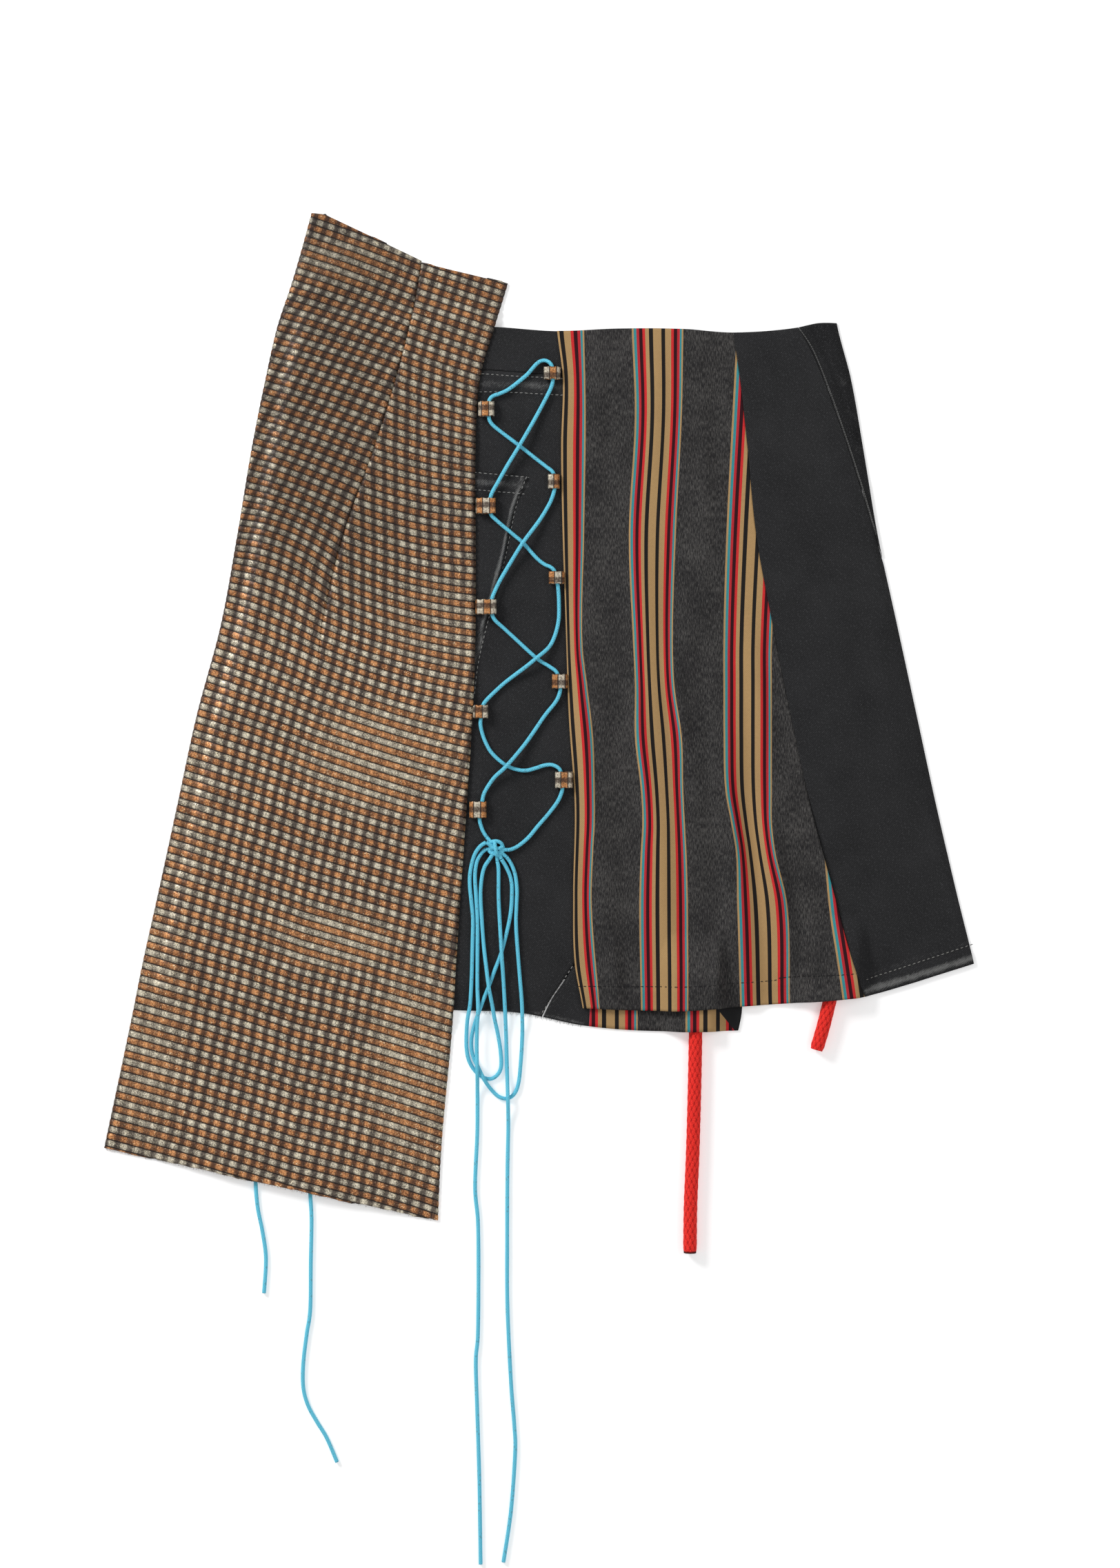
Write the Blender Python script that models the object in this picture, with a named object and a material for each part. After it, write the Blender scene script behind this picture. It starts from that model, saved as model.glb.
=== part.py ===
"""A patchwork corset skirt, laid flat on a table with its front up.

A long panel of ribbed foil check lies over black jeans denim. A pale blue lace joins its
loops to those of a striped panel, and a black denim side panel ends the skirt on the right.

All sizes here are millimetres. X runs to the right across the skirt, Y from the hem to the
waist, Z up from the table. The origin is under the middle of the cloth.
"""

from math import exp, radians

import bmesh
import bpy
from mathutils import Vector

MM = 0.001

# Cloth and layers
GAP = 0.3
BACK_THICK = 1.0
DENIM_THICK = 1.2
STRIPE_THICK = 1.2
POCKET_THICK = 0.9
CHECK_THICK = 1.3
BACK_TOP = BACK_THICK + GAP
POCKET_BASE = BACK_TOP + DENIM_THICK + GAP
WAIST_STEP = 2.0
SIDE_ROLL = 5.0
# How far the jeans lie in from the check panel's left edge
HIDDEN_STEP = 20.0
# Where a layer sinks to the table: this far below the back's hem, from the end to the start
BACK_STEP = (22.0, 3.0)
# Where the striped panel drops off the layer under it, past that layer's right edge
STRIPE_DROP = (3.0, 18.0)
# Thicker strips: rise, full up to the first distance from the edge, gone at the second
STRIPE_HEM = (0.5, 14.0, 16.0)
SIDE_HEM = (0.9, 9.0, 10.5)
STRAP_EDGE = (0.7, 5.0, 8.0)
GUSSET_TOP = -147.0
STRAP_FOOT = 106.0

# Ribbed check
RIB_HEIGHT = 0.8
RIBS = 148
HEM_LEFT = (-289.7, -288.4)
HEM_RIGHT = (-67.8, -335.8)
HEM_FALL = (HEM_RIGHT[1] - HEM_LEFT[1]) / (HEM_RIGHT[0] - HEM_LEFT[0])
# Where the check panel steps down from the skirt to the table: distances from the skirt's edge
SEAT = 0.1
SEAT_SIDE = (-12.0, -1.0)
SEAT_TOP = (2.0, 18.0)
SEAT_FOOT = (-18.0, -2.0)
# Heights between which it lies on the pocket
OVER_POCKET = (-14.0, 4.0, 182.0, 200.0)
# Its hem over the two hem cords: rise, reach up from the hem, middle and reach to each side
CORD_LIFT = 4.6
CORD_LIFT_UP = (26.0, 60.0)
CORD_LIFT_X = -167.0
CORD_LIFT_SIDE = (22.0, 90.0)

# Felled yoke seam of the jeans
FELL_Y = 220.0
FELL_SLOPE = -0.07
FELL_HALF = 6.5
FELL_RISE = 0.7
FELL_EDGE = 0.8
FELL_SEAT = (3.0, 14.0)

# Lace, loops and ropes
LACE = 2.7
ROPE = 9.2
LOOP_WALL = 0.9
LOOP_SLOT = 3.5
LOOP_ROOT = 2.0
LOOP_RIB = 4.6
LOOP_RIB_RISE = 0.5
LOOP_RIB_HALF = 0.6
LOOP_TIP = 1.0
LOOP_SHOULDER = 0.5
LOOP_END = 0.3
KNOT = (9.6, 11.4, 8.0)
KNOT_PLACE = (-29.1, -88.6, 6.6)
# Cloth over a rope's root: the two roots, then half the level ridge, half its foot, how much
# wider it is on the layers above, and how far it runs up the skirt
ROPE_LIFTS = ((103.4, -198.0), (196.5, -186.0))
ROPE_RIDGE = 8.0
ROPE_FOOT = 22.0
ROPE_SPREAD = 5.0
ROPE_RUN = (21.7, 62.0)

# Spacing of the rows and columns of a panel near its hem and its rolled edge
HEM_STEPS = (27.0, 23.0, 18.0, 12.0, 6.0)
ROLL_STEPS = (1.6, 3.3, 5.0)
NET_ROUNDS = 14
CURVE_STEPS = 12

# Seams and edges that run from the waist to the hem, by height on the skirt
SECTION_NAMES = (
    "height", "check_left", "spine", "check_right", "stripe_left", "side_seam", "right_edge"
)
SECTIONS = (
    (340, -151, -74, -7, 11, 118, 189),
    (290, -165, -81, -21, 11, 125, 194),
    (260, -175, -87, -30, 11, 128, 198),
    (225, -183, -96, -40, 15, 133, 207),
    (180, -192, -110, -43, 14, 138, 215),
    (120, -202, -131, -43, 15, 144, 225),
    (60, -213, -145, -43, 17, 155, 238),
    (0, -229, -149, -45, 19, 167, 251),
    (-60, -242, -151, -49, 23, 180, 264),
    (-120, -255, -156, -53, 22, 196, 278),
    (-165, -265, -159, -56, 23, 208, 289),
    (-200, -272, -161, -58, 29, 221, 296),
    (-290, -291, -164, -66, 34, 252, 316),
    (-360, -306, -166, -69, 37, 277, 332),
)

# Ribs of the check down each seam: height of the first, spacing in the head, spacing below it
RIB_SEAMS = (
    ("left", 334.5, 4.1, 4.5),
    ("dart", 302.0, 4.05, 4.6),
    ("right", 288.0, 4.27, 4.63),
)
# The last rib of the head
HEAD_RIBS = 60
# How far the ribs bow up on either side of the dart, at which rib most, and for how many
LEFT_BOW = (2.4, 58.0, 22.0)
RIGHT_BOW = (-2.8, 57.0, 24.0)

# Waist edge of the layers under the lace and of the front panels, left to right
WAIST_NAMES = ("across", "height")
WAIST = (
    (-170, 258), (-100, 260), (-30, 259), (11, 256.2), (54, 257.8), (98, 257.4),
    (128, 255.3), (171, 258.5), (185, 261.5), (198, 261.7),
)
UNDER_HEM = (
    (-262, -176), (-150, -190), (-58, -196.4), (-13, -198.3), (28, -206.5), (62, -209.8),
    (131, -210), (200, -206),
)
FRONT_HEM = (
    (28, -195), (62, -196.4), (96, -196.4), (132, -194), (165, -191.8), (201, -189),
    (217, -187), (246, -179), (265, -173), (292, -164.5),
)
BACK_HEM = (
    (-262, -151), (-150, -165), (-58, -171.4), (28, -176), (131, -170), (170, -163), (201, -158),
    (265, -148), (292, -139.5),
)

# Hidden and short seams, by height
STRAP_SEAM = (
    (265, 168), (259, 172), (240, 182.4), (200, 198), (160, 211.4), (120, 223.8), (96, 230.5)
)
UNDER_RIGHT = ((260, 92), (0, 112), (-195, 134.6), (-215, 131))
UNDER_JOIN = ((260, 62), (0, 50), (-150, 36), (-215, 32))
GUSSET_SEAM = ((-140, 38), (-158, 30), (-166.5, 22), (-178.5, 14), (-189, 7), (-212, -4))
POCKET_RIGHT = (
    (175, -2), (159, -8.4), (140, -16.7), (106, -24), (82, -29.6), (50, -41.5), (0, -60),
)
POCKET_LEFT = ((180, -151), (60, -130), (0, -110))
POCKET_TOP = ((-155, 173), (-8, 159.2))
POCKET_FOOT = ((-132, 46), (-88, 12), (-40, 46))

# Soft folds of the striped panel: foot and head of each ridge, its half width and its rise
FOLD_NAMES = ("foot_x", "foot_y", "head_x", "head_y", "half_width", "rise")
STRIPE_FOLDS = (
    (44, -150, 32, 70, 15, 2.2),
    (82, -130, 66, 110, 17, 3.4),
    (104, -110, 96, 60, 14, 2.2),
    (136, -170, 123, 0, 15, 3.6),
    (168, -180, 150, -60, 15, 2.6),
)
# Shares of its length over which a fold rises at its foot and fades at its head
FOLD_FOOT = (-0.45, 0.15)
FOLD_HEAD = (0.7, 1.25)
# Low swells of the check panel: middle, half length across and along, rise
SWELL_NAMES = ("x", "y", "half_across", "half_along", "rise")
CHECK_SWELLS = (
    (-128, 295, 60, 34, 2.0),
    (-95, -25, 80, 60, 2.4),
    (-190, -130, 60, 60, 1.6),
    (-100, -250, 60, 50, 1.6),
)

# Loops of the same check, each round the lace: tip, root and middle, width of the band and
# the height of what it lies on
LOOP_NAMES = ("name", "tip", "root", "middle", "width", "base", "slot")
LOOPS = (
    ("loop_left_1", -30.6, -40.7, 204.0, 10.2, 2.8, 6.6),
    ("loop_left_2", -29.7, -42.3, 139.4, 10.8, 4.0, 6.6),
    ("loop_left_3", -29.2, -42.4, 72.2, 10.2, 4.0, 6.6),
    ("loop_left_4", -34.8, -44.1, 2.5, 9.0, 2.8, 6.2),
    ("loop_left_5", -35.9, -46.7, -62.8, 11.4, 2.8, 6.6),
    ("loop_right_1", 2.6, 13.0, 227.9, 8.6, 3.5, 7.8),
    ("loop_right_2", 5.4, 12.7, 155.9, 10.0, 2.8, 5.6),
    ("loop_right_3", 5.9, 15.6, 91.8, 8.6, 2.8, 7.0),
    ("loop_right_4", 8.0, 17.8, 22.8, 9.8, 2.8, 6.6),
    ("loop_right_5", 10.1, 21.2, -42.8, 11.2, 2.8, 6.6),
)

# Routes of the lace and the ropes, each point chosen by hand: x, y and height of the middle
LACE_FIRST_HALF = (
    (8.2, 226.6, 6.15), (8.3, 229.5, 6.15), (7.9, 232.3, 6.1), (6.2, 234.9, 5.7),
    (3.4, 236.3, 5.2), (0.4, 236, 4.9), (-2.3, 234.2, 4.9), (-5.3, 230.9, 4.9), (-9.8, 226, 4.9),
    (-20.4, 217.6, 4.9), (-26.8, 214.4, 4.8), (-31.6, 212.6, 5.1), (-33.9, 209.5, 5.45),
    (-34.2, 204, 5.45), (-34.2, 198.8, 5.4), (-33.1, 195.4, 4.9), (-30.3, 192.3, 4.4),
    (-25, 188.1, 4.2), (-13.7, 179.6, 4.2), (-2.4, 170.7, 4.2), (4.2, 165.6, 4.6),
    (8.5, 161.8, 5.35), (9.8, 155.9, 5.45), (9.5, 150.7, 5.45), (8.4, 146.3, 5.2),
    (5.8, 140.3, 4.8), (-0.6, 129.7, 5.6), (-11.4, 115, 7.6), (-19.5, 102.1, 6.3),
    (-26.8, 89.7, 5.9), (-30.5, 81.9, 6.4), (-32.1, 77.5, 6.65), (-32.6, 72.2, 6.65),
    (-31.9, 66.9, 6.65), (-29.6, 63, 5.9), (-24.5, 58.4, 4.6), (-18.5, 52.9, 4.2),
    (-2.4, 38.2, 4.2), (5.6, 33, 4.6), (10.9, 28.9, 5.35), (12.7, 22.8, 5.45), (13.4, 17.7, 5.45),
    (12.1, 12.4, 5), (9.1, 7.4, 4.4), (3.1, 0, 4.4), (-9.3, -17.9, 5.2), (-22.2, -33.4, 7.6),
    (-30, -40.7, 6), (-34.6, -46.9, 5), (-37.4, -52, 5.2), (-38.5, -56.8, 5.45),
    (-39.5, -62.8, 5.45), (-40.4, -68.8, 5.45), (-39.5, -73.1, 4.9), (-37.9, -77.3, 4.5),
    (-35.6, -81, 4.6),
)
LACE_SECOND_HALF = (
    (8.2, 226.1, 6.15), (8.4, 224, 6.15), (8.3, 221.7, 5.9), (7.4, 218.7, 5.3), (5.2, 213.9, 4.9),
    (-3.8, 196.9, 5.6), (-13.7, 179.6, 7.6), (-22.2, 165.6, 6.9), (-28.2, 155, 6.8),
    (-31.6, 149, 6.7), (-33, 145.1, 6.65), (-33.5, 139.4, 6.65), (-32.7, 133.8, 6.65),
    (-29.6, 130.4, 6), (-25.4, 126.7, 5.6), (-20.6, 122.8, 5.2), (-16.2, 119.1, 4.4),
    (-11.4, 115, 4.2), (-2.4, 104.9, 4.2), (3, 100.6, 4.5), (6.8, 98.9, 5.1), (9.5, 96.2, 5.45),
    (10.2, 91.8, 5.45), (11.4, 87.9, 5.45), (12.1, 83.3, 5), (12.5, 75, 4.3), (12.3, 63.9, 4.2),
    (10, 53.8, 4.4), (5.8, 45.5, 5.2), (-2.4, 38.2, 7.6), (-9.8, 32.2, 6.6), (-16.7, 27.1, 5.2),
    (-24.1, 21.4, 4.3), (-31.4, 14.7, 4.4), (-35.6, 10.4, 5.1), (-37.9, 7, 5.45),
    (-38.5, 2.5, 5.45), (-39.5, -2.1, 5.45), (-39.7, -6.4, 5), (-38.5, -12, 4.3),
    (-36.5, -17.5, 4.2), (-33.3, -23.5, 4.2), (-28.2, -29, 4.2), (-22.2, -33.4, 4.2),
    (-15.8, -35.9, 4.2), (-9.3, -36.6, 4.2), (-2.9, -35, 4.2), (3.1, -33.1, 4.3), (8.5, -33, 4.9),
    (13.1, -36, 5.4), (14.4, -42.3, 5.45), (14.8, -48.3, 5.45), (13.7, -52.9, 4.9),
    (10.9, -58.4, 4.3), (4.9, -66.2, 4.2), (-1.5, -73.6, 4.2), (-8, -81.4, 4.2),
    (-14.4, -86.7, 4.2), (-19, -89, 4.6), (-22, -89.5, 5.2),
)
BOW_LOOP_SHORT = (
    (-36, -84.4, 7.6), (-39.7, -86.9, 6.6), (-43.1, -91.5, 5.2), (-45.4, -98, 4.3),
    (-46.8, -106.3, 4.2), (-46.8, -114.1, 4.2), (-45.7, -125.1, 4.2), (-44.8, -136.6, 4.2),
    (-45.2, -157.3, 4.2), (-45.7, -175.7, 4.2), (-46.6, -191.8, 4.2), (-48.2, -201, 3.2),
    (-49.1, -210.7, 1.5), (-49.1, -221.7, 1.4), (-47.5, -230, 1.4), (-43.8, -236.4, 1.4),
    (-38.8, -240.8, 1.4), (-33.3, -242.2, 1.4), (-28.7, -239.7, 1.4), (-26.1, -234.1, 1.4),
    (-26.4, -224, 1.4), (-28.2, -212.5, 1.5), (-30.3, -202.4, 3.4), (-32.1, -191.8, 5.6),
    (-34.2, -180.3, 7.9), (-36, -166.5, 6), (-37.6, -152.7, 4.2), (-38.8, -136.6, 4.2),
    (-39.7, -120.5, 4.2), (-39, -109, 4.2), (-37.2, -101.2, 4.5), (-34.2, -96.4, 5),
)
BOW_LOOP_LONG = (
    (-25.7, -95.7, 6.6), (-22.7, -100.7, 5.2), (-19.7, -108.1, 4.3), (-18.8, -117.3, 4.2),
    (-20.1, -134.3, 4.2), (-25.7, -157.3, 4.2), (-30.5, -170.2, 4.2), (-34.2, -180.3, 4.2),
    (-37.9, -189.5, 4.2), (-40.8, -197.3, 4.1), (-43.6, -205.6, 2.6), (-45.7, -214.8, 1.5),
    (-45.7, -222.6, 1.4), (-44.1, -228.6, 2), (-41.8, -233.2, 3.6), (-38.5, -239.9, 5.2),
    (-35.6, -245.2, 3.6), (-31.4, -250.7, 1.5), (-27.3, -254.2, 1.4), (-22.2, -255.3, 1.4),
    (-17.4, -252.3, 1.4), (-14.4, -244.7, 1.4), (-12.8, -229.1, 1.4), (-11.9, -212.5, 1.7),
    (-11.9, -201.9, 3.7), (-12.3, -189.5, 4.2), (-14.2, -166.5, 4.2), (-16, -141.2, 4.2),
    (-15.8, -127, 4.2), (-15.5, -115.9, 4.2), (-16.7, -105.8, 4.2), (-19.5, -98.4, 4.4),
    (-22.4, -94.3, 5),
)
TAIL_LEFT = (
    (-36.2, -89, 4.6), (-39.2, -91.8, 4.3), (-42.2, -97.5, 4.2), (-43.4, -106.7, 4.2),
    (-42.7, -120.5, 4.2), (-41.8, -136.6, 4.2), (-41.8, -161.9, 4.2), (-41.8, -180.3, 4.9),
    (-41.3, -195.5, 7.2), (-42, -207.9, 6), (-42.2, -221.7, 5.8), (-42, -232.3, 7.3),
    (-41.8, -239.2, 6.5), (-41.8, -249.3, 2.8), (-41.8, -260.8, 1.4), (-42, -280.6, 1.4),
    (-43.4, -314.6, 1.4), (-41.5, -337.2, 1.4), (-41.1, -371.2, 1.4), (-41.5, -412.2, 1.4),
    (-42.9, -430.6, 1.4), (-42, -462.3, 1.4), (-40.6, -507.8, 1.4), (-39.7, -565.8, 1.4),
)
TAIL_RIGHT = (
    (-28.4, -97.3, 4.6), (-27.7, -103, 4.3), (-27.7, -120.5, 4.2), (-26.8, -138.9, 5),
    (-25.7, -157.3, 7.6), (-24.5, -175.7, 5), (-23.6, -191.8, 4.2), (-23.1, -203.3, 3.2),
    (-22.7, -214.8, 1.5), (-22.2, -233.2, 1.4), (-21.8, -245.6, 3), (-21.5, -255.3, 5.1),
    (-21.3, -265, 3), (-21.3, -276.9, 1.4), (-21.8, -304.5, 1.4), (-22, -350.5, 1.4),
    (-21.8, -394.2, 1.4), (-19.5, -443.9, 1.4), (-17.2, -473.8, 1.4), (-16.7, -491.7, 1.4),
    (-19.5, -530.4, 1.4), (-24.5, -564.4, 1.4),
)
HEM_CORD_LEFT = (
    (-189.2, -283.8, 1.5), (-189.4, -299.9, 1.5), (-189.7, -311.4, 1.4), (-188.3, -328, 1.4),
    (-185.1, -344.1, 1.4), (-182.8, -362, 1.4), (-184.1, -385, 1.4),
)
HEM_CORD_MIDDLE = (
    (-153.3, -291.6, 2.6), (-153.3, -300, 2.5), (-153.3, -309, 1.8), (-153.3, -318.8, 1.4),
    (-152.4, -336.3, 1.4), (-152.9, -364.3, 1.4), (-153.3, -396.1, 1.4), (-155.6, -412.2, 1.4),
    (-157.9, -431.9, 1.4), (-157.9, -448, 1.4), (-154.7, -460, 1.4), (-148.7, -471, 1.4),
    (-142.3, -481.6, 1.4), (-135.4, -497.7, 1.4),
)
ROPE_MIDDLE = (
    (103.6, -184, 4.9), (103.4, -198.7, 4.9), (103.4, -212.5, 4.9), (102.7, -249.3, 4.9),
    (101.5, -292.1, 4.9), (100.1, -326.1, 4.9), (99.7, -357.9, 4.9),
)
ROPE_RIGHT = (
    (199.2, -165.6, 4.9), (197, -172.8, 4.9), (194.9, -181.2, 4.9), (192.6, -190.4, 4.9),
    (188.5, -207, 4.9), (183.9, -222.6, 4.9),
)


def column(table, names, name):
    """The values of one named column."""
    place = names.index(name)
    return [row[place] for row in table]


def smooth_through(keys, values):
    """A smooth function through the values at rising or falling keys, straight past the ends."""
    pairs = sorted(zip(keys, values))
    xs = [float(key) for key, _ in pairs]
    ys = [float(value) for _, value in pairs]
    steps = [(ys[i + 1] - ys[i]) / (xs[i + 1] - xs[i]) for i in range(len(xs) - 1)]
    slopes = [steps[0]] + [(a + b) / 2 for a, b in zip(steps, steps[1:])] + [steps[-1]]

    def value(x):
        if x <= xs[0]:
            return ys[0] + slopes[0] * (x - xs[0])
        if x >= xs[-1]:
            return ys[-1] + slopes[-1] * (x - xs[-1])
        i = max(j for j in range(len(xs) - 1) if xs[j] <= x)
        span = xs[i + 1] - xs[i]
        t = (x - xs[i]) / span
        start = ys[i] * (1 + 2 * t) * (1 - t) ** 2 + slopes[i] * span * t * (1 - t) ** 2
        end = ys[i + 1] * t * t * (3 - 2 * t) + slopes[i + 1] * span * t * t * (t - 1)
        return start + end

    return value


def line(points):
    """A smooth function through pairs of key and value."""
    return smooth_through([key for key, _ in points], [value for _, value in points])


def section_line(name):
    heights = column(SECTIONS, SECTION_NAMES, "height")
    return smooth_through(heights, column(SECTIONS, SECTION_NAMES, name))


def rib_heights(seam):
    """The height at which each rib meets a seam, from its spacing there."""
    _, head, head_pitch, foot_pitch = next(row for row in RIB_SEAMS if row[0] == seam)

    def height(rib):
        return head - head_pitch * min(rib, HEAD_RIBS) - foot_pitch * max(0.0, rib - HEAD_RIBS)

    return height


def bow_of_rib(bow, rib):
    rise, middle, reach = bow
    return rise * exp(-(((rib - middle) / reach) ** 2))


def smooth_step(value, start, end):
    """0 at start, 1 at end, with level ends."""
    t = min(1.0, max(0.0, (value - start) / (end - start)))
    return t * t * (3 - 2 * t)


check_left = section_line("check_left")
spine = section_line("spine")
check_right = section_line("check_right")
stripe_left = section_line("stripe_left")
side_seam = section_line("side_seam")
right_edge = section_line("right_edge")
waist = line(WAIST)
under_hem = line(UNDER_HEM)
front_hem = line(FRONT_HEM)
strap_seam = line(STRAP_SEAM)
under_right = line(UNDER_RIGHT)
under_join = line(UNDER_JOIN)
gusset_seam = line(GUSSET_SEAM)
pocket_right = line(POCKET_RIGHT)
pocket_left = line(POCKET_LEFT)
pocket_top = line(POCKET_TOP)
pocket_foot = line(POCKET_FOOT)
back_hem = line(BACK_HEM)
rib_at_left = rib_heights("left")
rib_at_dart = rib_heights("dart")
rib_at_right = rib_heights("right")


def hidden_left(y):
    """The skirt's left fold, which the check panel covers."""
    return check_left(y) + HIDDEN_STEP


def rope_lift(x, y, spread):
    """Rise of the cloth over a rope's root, spread wider for a layer above."""
    rise = 0.0
    for rope_x, rope_y in ROPE_LIFTS:
        beside = 1 - smooth_step(abs(x - rope_x) - spread, ROPE_RIDGE, ROPE_FOOT)
        along = 1 - smooth_step(y - rope_y, *ROPE_RUN)
        rise = max(rise, (ROPE + GAP + SEAT) * beside * along)
    return rise


def on_back(x, y, spread=0.0):
    """Underside of a layer that lies on the back: it sinks to the table below the back's hem."""
    end, start = BACK_STEP
    rest = BACK_TOP * smooth_step(y - back_hem(x), -end, -start)
    return max(rest, rope_lift(x, y, spread))


def roll(value, edge):
    """1 inside the skirt and 0 at its folded side edge."""
    return smooth_step(abs(value - edge), 0.0, SIDE_ROLL)


def under_jeans(x, y):
    return on_back(x, y) * roll(x, hidden_left(y))


def fell(x, y):
    """1 on the raised band of the felled seam."""
    away = abs(y - FELL_Y - FELL_SLOPE * x)
    return 1 - smooth_step(away, FELL_HALF, FELL_HALF + FELL_EDGE)


def wide_fell(x, y):
    """1 above the band for the cloth that lies on it, which bends more softly."""
    away = abs(y - FELL_Y - FELL_SLOPE * x)
    start, end = FELL_SEAT
    return 1 - smooth_step(away - FELL_HALF, start, end)


def jeans_thick(x, y):
    return DENIM_THICK + FELL_RISE * fell(x, y)


def above_jeans(x, y):
    """Underside of what lies on the denim."""
    return under_jeans(x, y) + DENIM_THICK + GAP + FELL_RISE * wide_fell(x, y)


def folds(x, y):
    """Rise of the soft folds of the striped panel."""
    rise = 0.0
    for row in STRIPE_FOLDS:
        foot_x, foot_y, head_x, head_y, half_width, height = row
        along = (y - foot_y) / (head_y - foot_y)
        middle = foot_x + (head_x - foot_x) * along
        beside = 1 - smooth_step(abs(x - middle), 0.0, half_width)
        ends = smooth_step(along, *FOLD_FOOT) * (1 - smooth_step(along, *FOLD_HEAD))
        rise += height * beside * ends
    return rise


def under_stripes(x, y):
    over = 1 - smooth_step(x - under_right(y), *STRIPE_DROP)
    low = on_back(x, y, ROPE_SPREAD)
    high = max(above_jeans(x, y), low + DENIM_THICK + GAP)
    return low + (high - low) * over + folds(x, y)


def stripes_thick(x, y):
    """The turned hem is a little thicker."""
    rise, start, end = STRIPE_HEM
    return STRIPE_THICK + rise * (1 - smooth_step(y - front_hem(x), start, end))


def under_side(x, y):
    return on_back(x, y, ROPE_SPREAD) * roll(x, right_edge(y))


def side_thick(x, y):
    """The worn jeans hem stands proud of the panel."""
    rise, start, end = SIDE_HEM
    return DENIM_THICK + rise * (1 - smooth_step(y - front_hem(x), start, end))


def strap_thick(x, y):
    """The strap is folded in along its topstitched edge."""
    rise, start, end = STRAP_EDGE
    return DENIM_THICK + rise * (1 - smooth_step(x - strap_seam(y), start, end))


def check_seat(x, y):
    """1 over the skirt, 0 where the check panel lies on the table."""
    side = smooth_step(x - hidden_left(y), *SEAT_SIDE)
    top = 1 - smooth_step(y - waist(x), *SEAT_TOP)
    foot = smooth_step(y - under_hem(x), *SEAT_FOOT)
    return side * top * foot


def under_check(x, y):
    """Underside of the check panel: on the table, on the skirt, with its swells and lifted hem."""
    low_foot, low_head, high_head, high_foot = OVER_POCKET
    over_pocket = smooth_step(y, low_foot, low_head) * (1 - smooth_step(y, high_head, high_foot))
    over = POCKET_BASE + SEAT
    over += FELL_RISE * wide_fell(x, y)
    over += (POCKET_THICK + GAP) * over_pocket
    rise = over * check_seat(x, y)
    for middle_x, middle_y, half_across, half_along, height in CHECK_SWELLS:
        across = 1 - smooth_step(abs(x - middle_x), 0.0, half_across)
        along = 1 - smooth_step(abs(y - middle_y), 0.0, half_along)
        rise += height * across * along
    edge = HEM_LEFT[1] + (x - HEM_LEFT[0]) * HEM_FALL
    near_hem = 1 - smooth_step(y - edge, *CORD_LIFT_UP)
    beside = 1 - smooth_step(abs(x - CORD_LIFT_X), *CORD_LIFT_SIDE)
    return rise + CORD_LIFT * near_hem * beside


def material(name, colour, roughness, metallic=0.0):
    found = bpy.data.materials.new(name)
    found.use_nodes = True
    surface = found.node_tree.nodes["Principled BSDF"]
    surface.inputs["Base Color"].default_value = (*colour, 1.0)
    surface.inputs["Roughness"].default_value = roughness
    surface.inputs["Metallic"].default_value = metallic
    return found


def place(name, data, finish):
    thing = bpy.data.objects.new(name, data)
    thing.data.materials.append(finish)
    SKIRT.objects.link(thing)
    return thing


def stops(count, start=(), end=()):
    """Shares of a length: fixed steps in from its start and its end, even ones between."""
    def shares(length):
        head = [0.0] + [step / length for step in start]
        tail = [1 - step / length for step in end] + [1.0]
        room = tail[0] - head[-1]
        between = [head[-1] + room * k / count for k in range(1, count)]
        return head + between + tail

    return shares


def net(left, right, top, foot, across, down):
    """Rows of places between four edges, from the top edge to the foot."""
    rows = []
    for j in range(len(down(1.0))):
        row = []
        for i in range(len(across(1.0))):
            x = 0.0
            y = 0.0
            for _ in range(NET_ROUNDS):
                v = down(top(x) - foot(x))[j]
                y = top(x) * (1 - v) + foot(x) * v
                u = across(right(y) - left(y))[i]
                x = left(y) * (1 - u) + right(y) * u
            row.append((x, y))
        rows.append(row)
    return rows


def rib_place(rib, t):
    """A place on a rib line: t is 0 at the left edge, 1 on the dart and 2 at the right edge."""
    y_left = rib_at_left(rib)
    y_middle = rib_at_dart(rib)
    y_right = rib_at_right(rib)
    if t <= 1:
        x = check_left(y_left) * (1 - t) + spine(y_middle) * t
        y = y_left * (1 - t) + y_middle * t + 4 * bow_of_rib(LEFT_BOW, rib) * t * (1 - t)
        return (x, y)
    s = t - 1
    x = spine(y_middle) * (1 - s) + check_right(y_right) * s
    y = y_middle * (1 - s) + y_right * s + 4 * bow_of_rib(RIGHT_BOW, rib) * s * (1 - s)
    return (x, y)


def zip_faces(mesh, fine, coarse):
    """Triangles between two runs of points that start and end beside each other."""
    i = 0
    j = 0
    while i < len(fine) - 1 or j < len(coarse) - 1:
        step_fine = (i + 1) / (len(fine) - 1)
        step_coarse = (j + 1) / (len(coarse) - 1) if len(coarse) > 1 else 2.0
        if j == len(coarse) - 1 or (i < len(fine) - 1 and step_fine <= step_coarse):
            mesh.faces.new((fine[i], coarse[j], fine[i + 1]))
            i += 1
        else:
            mesh.faces.new((fine[i], coarse[j], coarse[j + 1]))
            j += 1


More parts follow.
